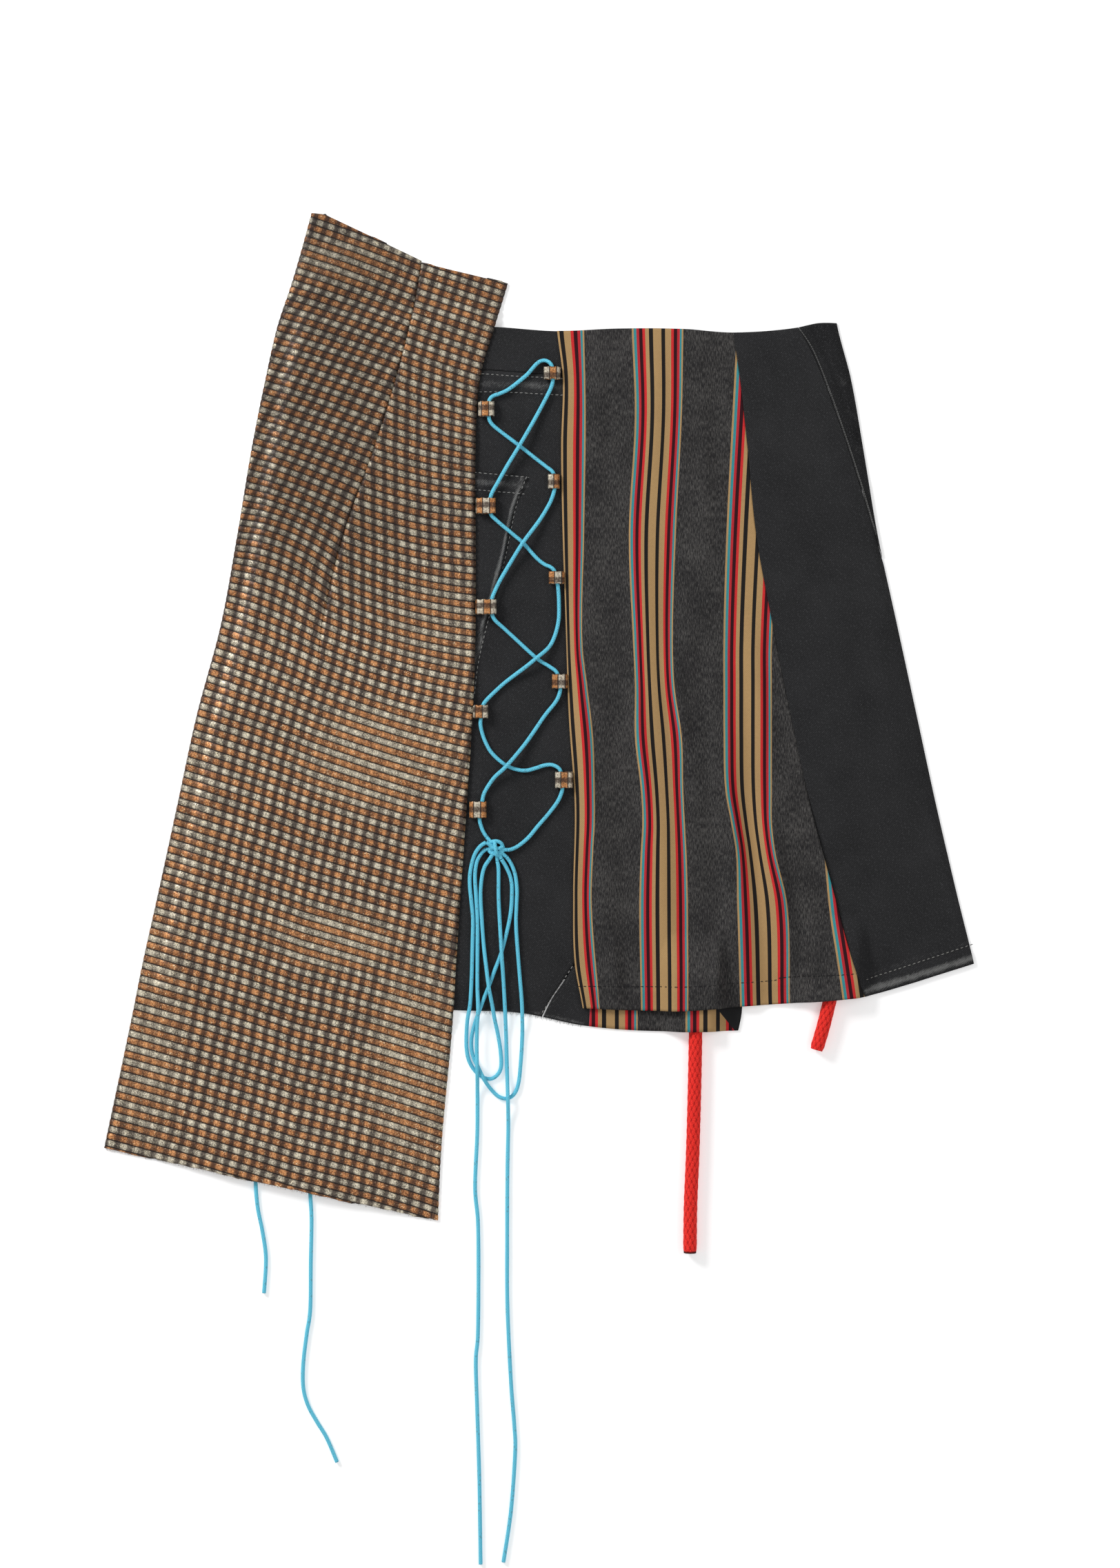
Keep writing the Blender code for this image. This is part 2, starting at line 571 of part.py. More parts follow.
def wall_mesh(outer, inner):
    """A closed wall between two sheets of rows, which may differ in how many rows they have."""
    mesh = bmesh.new()
    top = [[mesh.verts.new(Vector(p) * MM) for p in row] for row in outer]
    low = [[mesh.verts.new(Vector(p) * MM) for p in row] for row in inner]
    for rows, flip in ((top, False), (low, True)):
        for upper, lower in zip(rows, rows[1:]):
            for i in range(len(upper) - 1):
                corners = [upper[i], lower[i], lower[i + 1], upper[i + 1]]
                mesh.faces.new(corners[::-1] if flip else corners)
    zip_faces(mesh, [row[0] for row in top], [row[0] for row in low])
    zip_faces(mesh, [row[-1] for row in top][::-1], [row[-1] for row in low][::-1])
    zip_faces(mesh, top[0][::-1], low[0][::-1])
    zip_faces(mesh, top[-1], low[-1])
    bmesh.ops.recalc_face_normals(mesh, faces=mesh.faces)
    return mesh


def finish_mesh(name, mesh, finish):
    data = bpy.data.meshes.new(name)
    mesh.to_mesh(data)
    mesh.free()
    return place(name, data, finish)


def wall(name, places, under, thick, finish):
    """A cloth panel: its underside, and its face at the cloth's thickness above that."""
    outer = [[(x, y, under(x, y) + thick(x, y)) for x, y in row] for row in places]
    inner = [[(x, y, under(x, y)) for x, y in row] for row in places]
    return finish_mesh(name, wall_mesh(outer, inner), finish)


def shifted(edge, step):
    return lambda key: edge(key) + step


def plain(value):
    return lambda x, y: value


def build_back(finish):
    """The plain back of the skirt, flat on the table."""
    places = net(
        shifted(hidden_left, SIDE_ROLL + GAP),
        shifted(right_edge, -SIDE_ROLL - GAP),
        shifted(waist, -WAIST_STEP),
        back_hem,
        stops(6),
        stops(8),
    )
    wall("back_panel", places, plain(0.0), plain(BACK_THICK), finish)


def fell_top(x):
    return FELL_Y + FELL_SLOPE * x + FELL_HALF + 1.2


def body_right(y):
    return min(under_join(y), gusset_seam(y))


def build_jeans(finish):
    """The jeans piece under the lace: yoke, body with the felled seam, gusset and pocket."""
    yoke_foot = shifted(fell_top, GAP)
    across = stops(8, start=ROLL_STEPS)
    yoke = net(hidden_left, under_join, waist, yoke_foot, across, stops(3))
    wall("jeans_yoke", yoke, under_jeans, jeans_thick, finish)

    down = stops(8, start=(0.6, 1.3, 14.1, 15.0), end=(48.0, 40.0, 33.0) + HEM_STEPS)
    body = net(hidden_left, body_right, fell_top, under_hem, across, down)
    wall("jeans_body", body, under_jeans, jeans_thick, finish)

    left = shifted(gusset_seam, 3 * GAP)
    gusset = net(left, under_join, lambda x: GUSSET_TOP, under_hem, stops(3), stops(10))
    wall("jeans_gusset", gusset, under_jeans, jeans_thick, finish)

    pocket = net(pocket_left, pocket_right, pocket_top, pocket_foot, stops(6), stops(7))
    wall("jeans_pocket", pocket, plain(POCKET_BASE), plain(POCKET_THICK), finish)


def build_under_stripes(finish):
    """The striped end of the under layer, which peeps out below the front hem."""
    left = shifted(under_join, GAP)
    down = stops(10, end=(60.0, 45.0, 35.0) + HEM_STEPS)
    places = net(left, under_right, waist, under_hem, stops(8), down)
    wall("under_stripes", places, under_jeans, plain(DENIM_THICK), finish)


def build_stripes(finish):
    down = stops(18, end=(60.0, 45.0, 35.0) + HEM_STEPS)
    places = net(stripe_left, side_seam, waist, front_hem, stops(18), down)
    wall("striped_panel", places, under_stripes, stripes_thick, finish)


def panel_right(y):
    return min(right_edge(y), strap_seam(y) - GAP)


def build_side(finish):
    """The denim side panel with its worn hem, and the topstitched strap at its head."""
    left = shifted(side_seam, GAP)
    down = stops(16, end=HEM_STEPS[:-2] + (10.8, 9.0))
    across = stops(6, end=ROLL_STEPS[::-1])
    places = net(left, panel_right, waist, front_hem, across, down)
    wall("side_panel", places, under_side, side_thick, finish)
    strap = net(strap_seam, right_edge, waist, lambda x: STRAP_FOOT, stops(5), stops(12))
    wall("side_strap", strap, under_side, strap_thick, finish)


def build_check(finish):
    """The long panel of foil check, its ribs raised on the face over a plain inside."""
    def ends(rib):
        width = spine(rib_at_dart(rib)) - check_left(rib_at_left(rib))
        return (0.0, 8.0 / width, 20.0 / width, (20.0 / width + 1) / 2, 1.0, 1.5, 2.0)

    outer = []
    for half in range(2 * RIBS + 1):
        rib = half / 2
        raised = RIB_HEIGHT if half % 2 else 0.0
        row = []
        for t in ends(rib):
            x, y = rib_place(rib, t)
            row.append((x, y, under_check(x, y) + CHECK_THICK + raised))
        outer.append(row)
    inner = []
    for rib in range(0, RIBS + 1, 2):
        row = []
        for t in ends(rib):
            x, y = rib_place(rib, t)
            row.append((x, y, under_check(x, y)))
        inner.append(row)
    mesh = wall_mesh(outer, inner)
    along = Vector((HEM_RIGHT[0] - HEM_LEFT[0], HEM_RIGHT[1] - HEM_LEFT[1], 0.0))
    cut = bmesh.ops.bisect_plane(
        mesh,
        geom=mesh.verts[:] + mesh.edges[:] + mesh.faces[:],
        plane_co=Vector((HEM_LEFT[0], HEM_LEFT[1], 0.0)) * MM,
        plane_no=Vector((along.y, -along.x, 0.0)),
        clear_outer=True,
    )
    rim = [e for e in cut["geom_cut"] if isinstance(e, bmesh.types.BMEdge)]
    bmesh.ops.holes_fill(mesh, edges=rim, sides=0)
    bmesh.ops.recalc_face_normals(mesh, faces=mesh.faces)
    finish_mesh("check_panel", mesh, finish)


def loop_outlines(length, slot):
    """Outline of a folded band seen from its end, tip at 0, and of the slot for the lace."""
    top = 2 * LOOP_WALL + LOOP_SLOT
    end = LOOP_WALL + slot
    outer = [(LOOP_TIP, 0.0), (length, 0.0), (length, LOOP_ROOT)]
    shoulder = min(end + LOOP_SHOULDER, length - LOOP_END)
    outer.append((shoulder, top))
    valley = LOOP_RIB
    valleys = []
    while valley < shoulder - LOOP_TIP:
        valleys.append(valley)
        valley += LOOP_RIB
    for valley in reversed(valleys):
        outer.append((valley + LOOP_RIB_HALF, top + LOOP_RIB_RISE))
        outer.append((valley, top))
        outer.append((valley - LOOP_RIB_HALF, top + LOOP_RIB_RISE))
    outer.append((LOOP_TIP, top + LOOP_RIB_RISE))
    outer.append((0.0, top - LOOP_TIP))
    outer.append((0.0, LOOP_TIP))
    corner = LOOP_WALL + LOOP_RIB_HALF
    hole = [
        (LOOP_WALL, corner),
        (LOOP_WALL, top - corner),
        (corner, top - LOOP_WALL),
        (end, top - LOOP_WALL),
        (end, LOOP_WALL),
        (corner, LOOP_WALL),
    ]
    return outer, hole


def build_loop(row, finish):
    """One folded band round the lace: its outline stands across and is drawn out lengthwise."""
    name, tip, root, middle, width, base, slot = row
    side = 1.0 if root > tip else -1.0
    data = bpy.data.curves.new(name, "CURVE")
    data.dimensions = "2D"
    data.fill_mode = "BOTH"
    data.extrude = width / 2 * MM
    for outline in loop_outlines(abs(root - tip), slot):
        spline = data.splines.new("POLY")
        spline.points.add(len(outline) - 1)
        for point, (along, height) in zip(spline.points, outline):
            point.co = (side * along * MM, height * MM, 0.0, 1.0)
        spline.use_cyclic_u = True
    thing = place(name, data, finish)
    thing.location = Vector((tip, middle, base)) * MM
    thing.rotation_euler = (radians(90), 0.0, 0.0)


def smooth_route(points, spacing):
    """Evenly spaced points on a smooth curve through the route's own points."""
    fine = []
    count = len(points)
    for i in range(count - 1):
        a = Vector(points[max(i - 1, 0)])
        b = Vector(points[i])
        c = Vector(points[i + 1])
        d = Vector(points[min(i + 2, count - 1)])
        for k in range(CURVE_STEPS):
            t = k / CURVE_STEPS
            fine.append(
                0.5 * (2 * b + (c - a) * t + (2 * a - 5 * b + 4 * c - d) * t * t
                       + (3 * b - a - 3 * c + d) * t ** 3)
            )
    fine.append(Vector(points[-1]))
    total = sum((q - p).length for p, q in zip(fine, fine[1:]))
    pieces = max(2, round(total / spacing))
    even = [fine[0]]
    walked = 0.0
    for p, q in zip(fine, fine[1:]):
        step = (q - p).length
        while len(even) < pieces and walked + step >= total * len(even) / pieces:
            even.append(p.lerp(q, (total * len(even) / pieces - walked) / step))
        walked += step
    even.append(fine[-1])
    return even


def build_cord(name, route, diameter, spacing, finish):
    """A round cord as a tube along its route, never lower than the table."""
    points = smooth_route(route, spacing)
    for point in points:
        point.z = max(point.z, diameter / 2)
    data = bpy.data.curves.new(name, "CURVE")
    data.dimensions = "3D"
    data.bevel_depth = diameter / 2 * MM
    data.bevel_resolution = 2
    data.use_fill_caps = True
    spline = data.splines.new("POLY")
    spline.points.add(len(points) - 1)
    for point, where in zip(spline.points, points):
        point.co = (*(where * MM), 1.0)
    place(name, data, finish)


def build_knot(finish):
    bpy.ops.mesh.primitive_uv_sphere_add(segments=12, ring_count=8, radius=0.5 * MM)
    knot = bpy.context.object
    knot.name = "lace_knot"
    knot.data.transform(
        ((KNOT[0], 0, 0, 0), (0, KNOT[1], 0, 0), (0, 0, KNOT[2], 0), (0, 0, 0, 1))
    )
    knot.location = Vector(KNOT_PLACE) * MM
    knot.data.materials.append(finish)
    for holder in knot.users_collection:
        holder.objects.unlink(knot)
    SKIRT.objects.link(knot)


for old in list(bpy.data.objects):
    bpy.data.objects.remove(old)
SKIRT = bpy.data.collections.new("corset_skirt")
bpy.context.scene.collection.children.link(SKIRT)

denim = material("black_denim", (0.012, 0.012, 0.014), 0.85)
stripe = material("striped_cotton", (0.05, 0.048, 0.045), 0.8)
check = material("foil_check", (0.22, 0.13, 0.08), 0.45, 0.3)
lace = material("blue_lace", (0.13, 0.55, 0.7), 0.6)
rope = material("red_rope", (0.75, 0.03, 0.02), 0.6)

build_back(denim)
build_jeans(denim)
build_under_stripes(stripe)
build_stripes(stripe)
build_side(denim)
build_check(check)
for loop_row in LOOPS:
    build_loop(loop_row, check)
build_cord("lace_first_half", LACE_FIRST_HALF, LACE, 2.3 * LACE, lace)
build_cord("lace_second_half", LACE_SECOND_HALF, LACE, 2.3 * LACE, lace)
build_cord("bow_loop_short", BOW_LOOP_SHORT, LACE, 3 * LACE, lace)
build_cord("bow_loop_long", BOW_LOOP_LONG, LACE, 3 * LACE, lace)
build_cord("lace_tail_left", TAIL_LEFT, LACE, 3 * LACE, lace)
build_cord("lace_tail_right", TAIL_RIGHT, LACE, 3 * LACE, lace)
build_knot(lace)
build_cord("hem_cord_left", HEM_CORD_LEFT, LACE, 3 * LACE, lace)
build_cord("hem_cord_middle", HEM_CORD_MIDDLE, LACE, 3 * LACE, lace)
build_cord("rope_middle", ROPE_MIDDLE, ROPE, 2.5 * ROPE, rope)
build_cord("rope_right", ROPE_RIGHT, ROPE, 2 * ROPE, rope)
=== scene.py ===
"""The look of the patchwork corset skirt: fine cloth, lace, loops, ropes, stitches and light.

Sizes in the tables are millimetres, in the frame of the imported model: X to the right across the
front, Y from the hem to the waist, Z up from the table.
"""

import math
import random

import bmesh
import bpy
import numpy as np
from mathutils import Matrix, Vector


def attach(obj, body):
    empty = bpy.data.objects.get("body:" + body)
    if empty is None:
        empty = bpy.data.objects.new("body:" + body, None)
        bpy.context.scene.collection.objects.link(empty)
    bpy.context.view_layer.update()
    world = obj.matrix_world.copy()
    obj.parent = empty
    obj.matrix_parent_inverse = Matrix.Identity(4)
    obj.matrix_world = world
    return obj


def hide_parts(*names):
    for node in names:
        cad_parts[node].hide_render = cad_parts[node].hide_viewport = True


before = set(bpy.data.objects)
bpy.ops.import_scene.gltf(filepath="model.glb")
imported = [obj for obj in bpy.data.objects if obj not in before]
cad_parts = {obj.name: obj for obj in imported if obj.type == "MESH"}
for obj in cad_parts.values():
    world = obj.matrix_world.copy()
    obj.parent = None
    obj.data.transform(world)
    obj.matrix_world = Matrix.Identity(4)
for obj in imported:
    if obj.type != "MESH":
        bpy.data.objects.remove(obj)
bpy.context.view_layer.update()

MM = 0.001

# Cloth and layers
GAP = 0.3
# What is left open of the seams between two panels, where the part has its gap
SEAM = 0.06
BACK_THICK = 1.0
DENIM_THICK = 1.2
STRIPE_THICK = 1.2
POCKET_THICK = 0.9
CHECK_THICK = 1.3
BACK_TOP = BACK_THICK + GAP
POCKET_BASE = BACK_TOP + DENIM_THICK + GAP
WAIST_STEP = 2.0
SIDE_ROLL = 5.0
# How far the jeans lie in from the check panel's left edge
HIDDEN_STEP = 20.0
# Where a layer sinks to the table: this far below the back's hem, from the end to the start
BACK_STEP = (22.0, 3.0)
# Where the striped panel drops off the layer under it, past that layer's right edge
STRIPE_DROP = (3.0, 18.0)
# Thicker strips: rise, full up to the first distance from the edge, gone at the second
STRIPE_HEM = (0.5, 14.0, 16.0)
SIDE_HEM = (0.9, 9.0, 10.5)
STRAP_EDGE = (0.7, 5.0, 8.0)
GUSSET_TOP = -147.0
STRAP_FOOT = 106.0

# Ribbed check
RIB_HEIGHT = 0.8
RIBS = 149
HEM_LEFT = (-289.7, -288.4)
HEM_RIGHT = (-67.8, -335.8)
HEM_FALL = (HEM_RIGHT[1] - HEM_LEFT[1]) / (HEM_RIGHT[0] - HEM_LEFT[0])
# Where the check panel steps down from the skirt to the table: distances from the skirt's edge
SEAT = 0.1
SEAT_SIDE = (-12.0, -1.0)
SEAT_TOP = (2.0, 18.0)
SEAT_FOOT = (-18.0, -2.0)
# Heights between which it lies on the pocket
OVER_POCKET = (-14.0, 4.0, 182.0, 200.0)
# Its hem over the two hem cords: rise, reach up from the hem, middle and reach to each side
CORD_LIFT = 4.6
CORD_LIFT_UP = (26.0, 60.0)
CORD_LIFT_X = -167.0
CORD_LIFT_SIDE = (22.0, 90.0)

# Felled yoke seam of the jeans
FELL_Y = 220.0
FELL_SLOPE = -0.07
FELL_HALF = 6.5
FELL_RISE = 0.7
FELL_EDGE = 0.8
FELL_SEAT = (3.0, 14.0)
# The yoke starts this far above it
YOKE_STEP = 1.2

# Lace, loops and ropes
LACE = 2.7
ROPE = 9.2
LOOP_WALL = 0.9
LOOP_SLOT = 3.5
LOOP_ROOT = 2.0
LOOP_RIB = 4.6
LOOP_RIB_RISE = 0.5
# Cloth over a rope's root: the two roots, then half the level ridge, half its foot, how much
# wider it is on the layers above, and how far it runs up the skirt
ROPE_LIFTS = ((103.4, -198.0), (196.5, -186.0))
ROPE_RIDGE = 8.0
ROPE_FOOT = 22.0
ROPE_SPREAD = 5.0
ROPE_RUN = (21.7, 62.0)

# Rounds that bring a point between four edges, and points between two points of a route
NET_ROUNDS = 14
CURVE_STEPS = 12
# Waves that make up an uneven rise
WAVES = 6

# Seams and edges that run from the waist to the hem, by height on the skirt
SECTION_NAMES = (
    "height", "check_left", "spine", "check_right", "stripe_left", "side_seam", "right_edge"
)
SECTIONS = (
    (340, -151, -74, -7, 11, 118, 189),
    (290, -165, -81, -21, 11, 125, 194),
    (260, -175, -87, -30, 11, 128, 198),
    (225, -183, -96, -40, 15, 133, 207),
    (180, -192, -110, -43, 14, 138, 215),
    (120, -202, -131, -43, 15, 144, 225),
    (60, -213, -145, -43, 17, 155, 238),
    (0, -229, -149, -45, 19, 167, 251),
    (-60, -242, -151, -49, 23, 180, 264),
    (-120, -255, -156, -53, 22, 196, 278),
    (-165, -265, -159, -56, 23, 208, 289),
    (-200, -272, -161, -58, 29, 221, 296),
    (-290, -291, -164, -66, 34, 252, 316),
    (-360, -306, -166, -69, 37, 277, 332),
)

# Ribs of the check down each seam: height of the first, which runs out past the head's slanting
# edge, their spacing in the head, their spacing below, and the rib where the spacing changes
RIB_SEAMS = (
    ("left", 341.0, 4.2, 4.55, 66),
    ("dart", 313.0, 4.17, 4.68, 66),
    ("right", 291.0, 4.05, 4.64, 36),
)
# How far the ribs bow up on either side of the dart, at which rib most, and for how many
LEFT_BOW = (4.5, 53.0, 9.0)
RIGHT_BOW = (-3.8, 53.0, 23.0)
# The lowest ribs right of the dart bow up a little instead, from one rib to another
FOOT_BOW = (1.2, 95.0, 125.0)
# How much lower a rib starts again on the dart's right, at the head; none where the dart ends
DART_STEP = 3.2
DART_END = 60.0

# Edges across the skirt, left to right: x and height. First the waist
WAIST = (
    (-170, 258), (-100, 260), (-30, 259), (11, 256.2), (54, 257.8), (98, 257.4),
    (128, 255.3), (171, 258.5), (185, 261.5), (198, 261.7),
)
# Hems of the layers under the front panels, of the front panels and of the back
UNDER_HEM = (
    (-262, -176), (-150, -190), (-58, -196.4), (-13, -198.3), (28, -206.5), (62, -209.8),
    (131, -210), (200, -206),
)
FRONT_HEM = (
    (28, -195), (62, -196.4), (96, -196.4), (132, -194), (165, -191.8), (201, -189),
    (217, -187), (246, -179), (265, -173), (292, -164.5),
)
BACK_HEM = (
    (-262, -151), (-150, -165), (-58, -171.4), (28, -176), (131, -170), (170, -163), (201, -158),
    (265, -148), (292, -139.5),
)

# Hidden and short seams: height and x, but for the pocket's top and foot, which are x and height
STRAP_SEAM = (
    (265, 168), (259, 172), (240, 182.4), (200, 198), (160, 211.4), (120, 223.8), (96, 230.5)
)
UNDER_RIGHT = ((260, 92), (0, 112), (-195, 134.6), (-215, 131))
UNDER_JOIN = ((260, 62), (0, 50), (-150, 36), (-215, 32))
GUSSET_SEAM = ((-140, 38), (-158, 30), (-166.5, 22), (-178.5, 14), (-189, 7), (-212, -4))
POCKET_RIGHT = (
    (175, -2), (159, -8.4), (140, -16.7), (106, -24), (82, -29.6), (50, -41.5), (0, -60),
)
POCKET_LEFT = ((180, -151), (60, -130), (0, -110))
POCKET_TOP = ((-155, 173), (-8, 159.2))
POCKET_FOOT = ((-132, 46), (-88, 12), (-40, 46))

# Soft folds of the striped panel: x and y of the ridge's foot, of its head, half width, rise
STRIPE_FOLDS = (
    (44, -150, 32, 70, 15, 2.2),
    (82, -130, 66, 110, 17, 3.4),
    (104, -110, 96, 60, 14, 2.2),
    (136, -170, 123, 0, 15, 3.6),
    (168, -180, 150, -60, 15, 2.6),
)
# Shares of its length over which a fold rises at its foot and fades at its head
FOLD_FOOT = (-0.45, 0.15)
FOLD_HEAD = (0.7, 1.25)
# Low swells of the check panel: x and y of the middle, half length across and along, rise
CHECK_SWELLS = (
    (-128, 295, 60, 34, 2.0),
    (-95, -25, 80, 60, 2.4),
    (-190, -130, 60, 60, 1.6),
    (-100, -250, 60, 50, 1.6),
)

# Loops of the same check, each round the lace: x of its tip and root, height of its middle, width
# of the band, and the rise of what it lies on
LOOPS = (
    ("loop_left_1", -30.6, -40.7, 204.0, 10.2, 2.8),
    ("loop_left_2", -29.7, -42.3, 139.4, 10.8, 4.0),
    ("loop_left_3", -29.2, -42.4, 72.2, 10.2, 4.0),
    ("loop_left_4", -34.8, -44.1, 2.5, 9.0, 2.8),
    ("loop_left_5", -35.9, -46.7, -62.8, 11.4, 2.8),
    ("loop_right_1", 2.6, 13.0, 227.9, 8.6, 3.5),
    ("loop_right_2", 5.4, 12.7, 155.9, 10.0, 2.8),
    ("loop_right_3", 5.9, 15.6, 91.8, 8.6, 2.8),
    ("loop_right_4", 8.0, 17.8, 22.8, 9.8, 2.8),
    ("loop_right_5", 10.1, 21.2, -42.8, 11.2, 2.8),
)

# Routes of the lace and the ropes, each point listed: x, y and height of the middle
LACE_FIRST_HALF = (
    (8.2, 226.6, 6.15), (8.3, 229.5, 6.15), (7.9, 232.3, 6.1), (6.2, 234.9, 5.7),
    (3.4, 236.3, 5.2), (0.4, 236, 4.9), (-2.3, 234.2, 4.9), (-5.3, 230.9, 4.9), (-9.8, 226, 4.9),
    (-20.4, 217.6, 4.9), (-26.8, 214.4, 4.8), (-31.6, 212.6, 5.1), (-33.9, 209.5, 5.45),
    (-34.2, 204, 5.45), (-34.2, 198.8, 5.4), (-33.1, 195.4, 4.9), (-30.3, 192.3, 4.4),
    (-25, 188.1, 4.2), (-13.7, 179.6, 4.2), (-2.4, 170.7, 4.2), (4.2, 165.6, 4.6),
    (8.5, 161.8, 5.35), (9.8, 155.9, 5.45), (9.5, 150.7, 5.45), (8.4, 146.3, 5.2),
    (5.8, 140.3, 4.8), (-0.6, 129.7, 5.6), (-11.4, 115, 7.6), (-19.5, 102.1, 6.3),
    (-26.8, 89.7, 5.9), (-30.5, 81.9, 6.4), (-32.1, 77.5, 6.65), (-32.6, 72.2, 6.65),
    (-31.9, 66.9, 6.65), (-29.6, 63, 5.9), (-24.5, 58.4, 4.6), (-18.5, 52.9, 4.2),
    (-2.4, 38.2, 4.2), (5.6, 33, 4.6), (10.9, 28.9, 5.35), (12.7, 22.8, 5.45), (13.4, 17.7, 5.45),
    (12.1, 12.4, 5), (9.1, 7.4, 4.4), (3.1, 0, 4.4), (-9.3, -17.9, 5.2), (-22.2, -33.4, 7.6),
    (-30, -40.7, 6), (-34.6, -46.9, 5), (-37.4, -52, 5.2), (-38.5, -56.8, 5.45),
    (-39.5, -62.8, 5.45), (-40.4, -68.8, 5.45), (-39.5, -73.1, 4.9), (-37.9, -77.3, 4.5),
    (-35.6, -81, 4.6),
)
LACE_SECOND_HALF = (
    (8.2, 226.1, 6.15), (8.4, 224, 6.15), (8.3, 221.7, 5.9), (7.4, 218.7, 5.3), (5.2, 213.9, 4.9),
    (-3.8, 196.9, 5.6), (-13.7, 179.6, 7.6), (-22.2, 165.6, 6.9), (-28.2, 155, 6.8),
    (-31.6, 149, 6.7), (-33, 145.1, 6.65), (-33.5, 139.4, 6.65), (-32.7, 133.8, 6.65),
    (-29.6, 130.4, 6), (-25.4, 126.7, 5.6), (-20.6, 122.8, 5.2), (-16.2, 119.1, 4.4),
    (-11.4, 115, 4.2), (-2.4, 104.9, 4.2), (3, 100.6, 4.5), (6.8, 98.9, 5.1), (9.5, 96.2, 5.45),
    (10.2, 91.8, 5.45), (11.4, 87.9, 5.45), (12.1, 83.3, 5), (12.5, 75, 4.3), (12.3, 63.9, 4.2),
    (10, 53.8, 4.4), (5.8, 45.5, 5.2), (-2.4, 38.2, 7.6), (-9.8, 32.2, 6.6), (-16.7, 27.1, 5.2),
    (-24.1, 21.4, 4.3), (-31.4, 14.7, 4.4), (-35.6, 10.4, 5.1), (-37.9, 7, 5.45),
    (-38.5, 2.5, 5.45), (-39.5, -2.1, 5.45), (-39.7, -6.4, 5), (-38.5, -12, 4.3),
    (-36.5, -17.5, 4.2), (-33.3, -23.5, 4.2), (-28.2, -29, 4.2), (-22.2, -33.4, 4.2),
    (-15.8, -35.9, 4.2), (-9.3, -36.6, 4.2), (-2.9, -35, 4.2), (3.1, -33.1, 4.3), (8.5, -33, 4.9),
    (13.1, -36, 5.4), (14.4, -42.3, 5.45), (14.8, -48.3, 5.45), (13.7, -52.9, 4.9),
    (10.9, -58.4, 4.3), (4.9, -66.2, 4.2), (-1.5, -73.6, 4.2), (-8, -81.4, 4.2),
    (-14.4, -86.7, 4.2), (-19, -89, 4.6), (-22, -89.5, 5.2),
)
BOW_LOOP_SHORT = (
    (-36, -84.4, 7.6), (-39.7, -86.9, 6.6), (-43.1, -91.5, 5.2), (-45.4, -98, 4.3),
    (-46.8, -106.3, 4.2), (-46.8, -114.1, 4.2), (-45.7, -125.1, 4.2), (-44.8, -136.6, 4.2),
    (-45.2, -157.3, 4.2), (-45.7, -175.7, 4.2), (-46.6, -191.8, 4.2), (-48.2, -201, 3.2),
    (-49.1, -210.7, 1.5), (-49.1, -221.7, 1.4), (-47.5, -230, 1.4), (-43.8, -236.4, 1.4),
    (-38.8, -240.8, 1.4), (-33.3, -242.2, 1.4), (-28.7, -239.7, 1.4), (-26.1, -234.1, 1.4),
    (-26.4, -224, 1.4), (-28.2, -212.5, 1.5), (-30.3, -202.4, 3.4), (-32.1, -191.8, 5.6),
    (-34.2, -180.3, 7.9), (-36, -166.5, 6), (-37.6, -152.7, 4.2), (-38.8, -136.6, 4.2),
    (-39.7, -120.5, 4.2), (-39, -109, 4.2), (-37.2, -101.2, 4.5), (-34.2, -96.4, 5),
)
BOW_LOOP_LONG = (
    (-25.7, -95.7, 6.6), (-22.7, -100.7, 5.2), (-19.7, -108.1, 4.3), (-18.8, -117.3, 4.2),
    (-20.1, -134.3, 4.2), (-25.7, -157.3, 4.2), (-30.5, -170.2, 4.2), (-34.2, -180.3, 4.2),
    (-37.9, -189.5, 4.2), (-40.8, -197.3, 4.1), (-43.6, -205.6, 2.6), (-45.7, -214.8, 1.5),
    (-45.7, -222.6, 1.4), (-44.1, -228.6, 2), (-41.8, -233.2, 3.6), (-38.5, -239.9, 5.2),
    (-35.6, -245.2, 3.6), (-31.4, -250.7, 1.5), (-27.3, -254.2, 1.4), (-22.2, -255.3, 1.4),
    (-17.4, -252.3, 1.4), (-14.4, -244.7, 1.4), (-12.8, -229.1, 1.4), (-11.9, -212.5, 1.7),
    (-11.9, -201.9, 3.7), (-12.3, -189.5, 4.2), (-14.2, -166.5, 4.2), (-16, -141.2, 4.2),
    (-15.8, -127, 4.2), (-15.5, -115.9, 4.2), (-16.7, -105.8, 4.2), (-19.5, -98.4, 4.4),
    (-22.4, -94.3, 5),
)
TAIL_LEFT = (
    (-36.2, -89, 4.6), (-39.2, -91.8, 4.3), (-42.2, -97.5, 4.2), (-43.4, -106.7, 4.2),
    (-42.7, -120.5, 4.2), (-41.8, -136.6, 4.2), (-41.8, -161.9, 4.2), (-41.8, -180.3, 4.9),
    (-41.3, -195.5, 7.2), (-42, -207.9, 6), (-42.2, -221.7, 5.8), (-42, -232.3, 7.3),
    (-41.8, -239.2, 6.5), (-41.8, -249.3, 2.8), (-41.8, -260.8, 1.4), (-42, -280.6, 1.4),
    (-43.4, -314.6, 1.4), (-41.5, -337.2, 1.4), (-41.1, -371.2, 1.4), (-41.5, -412.2, 1.4),
    (-42.9, -430.6, 1.4), (-42, -462.3, 1.4), (-40.6, -507.8, 1.4), (-39.7, -565.8, 1.4),
)
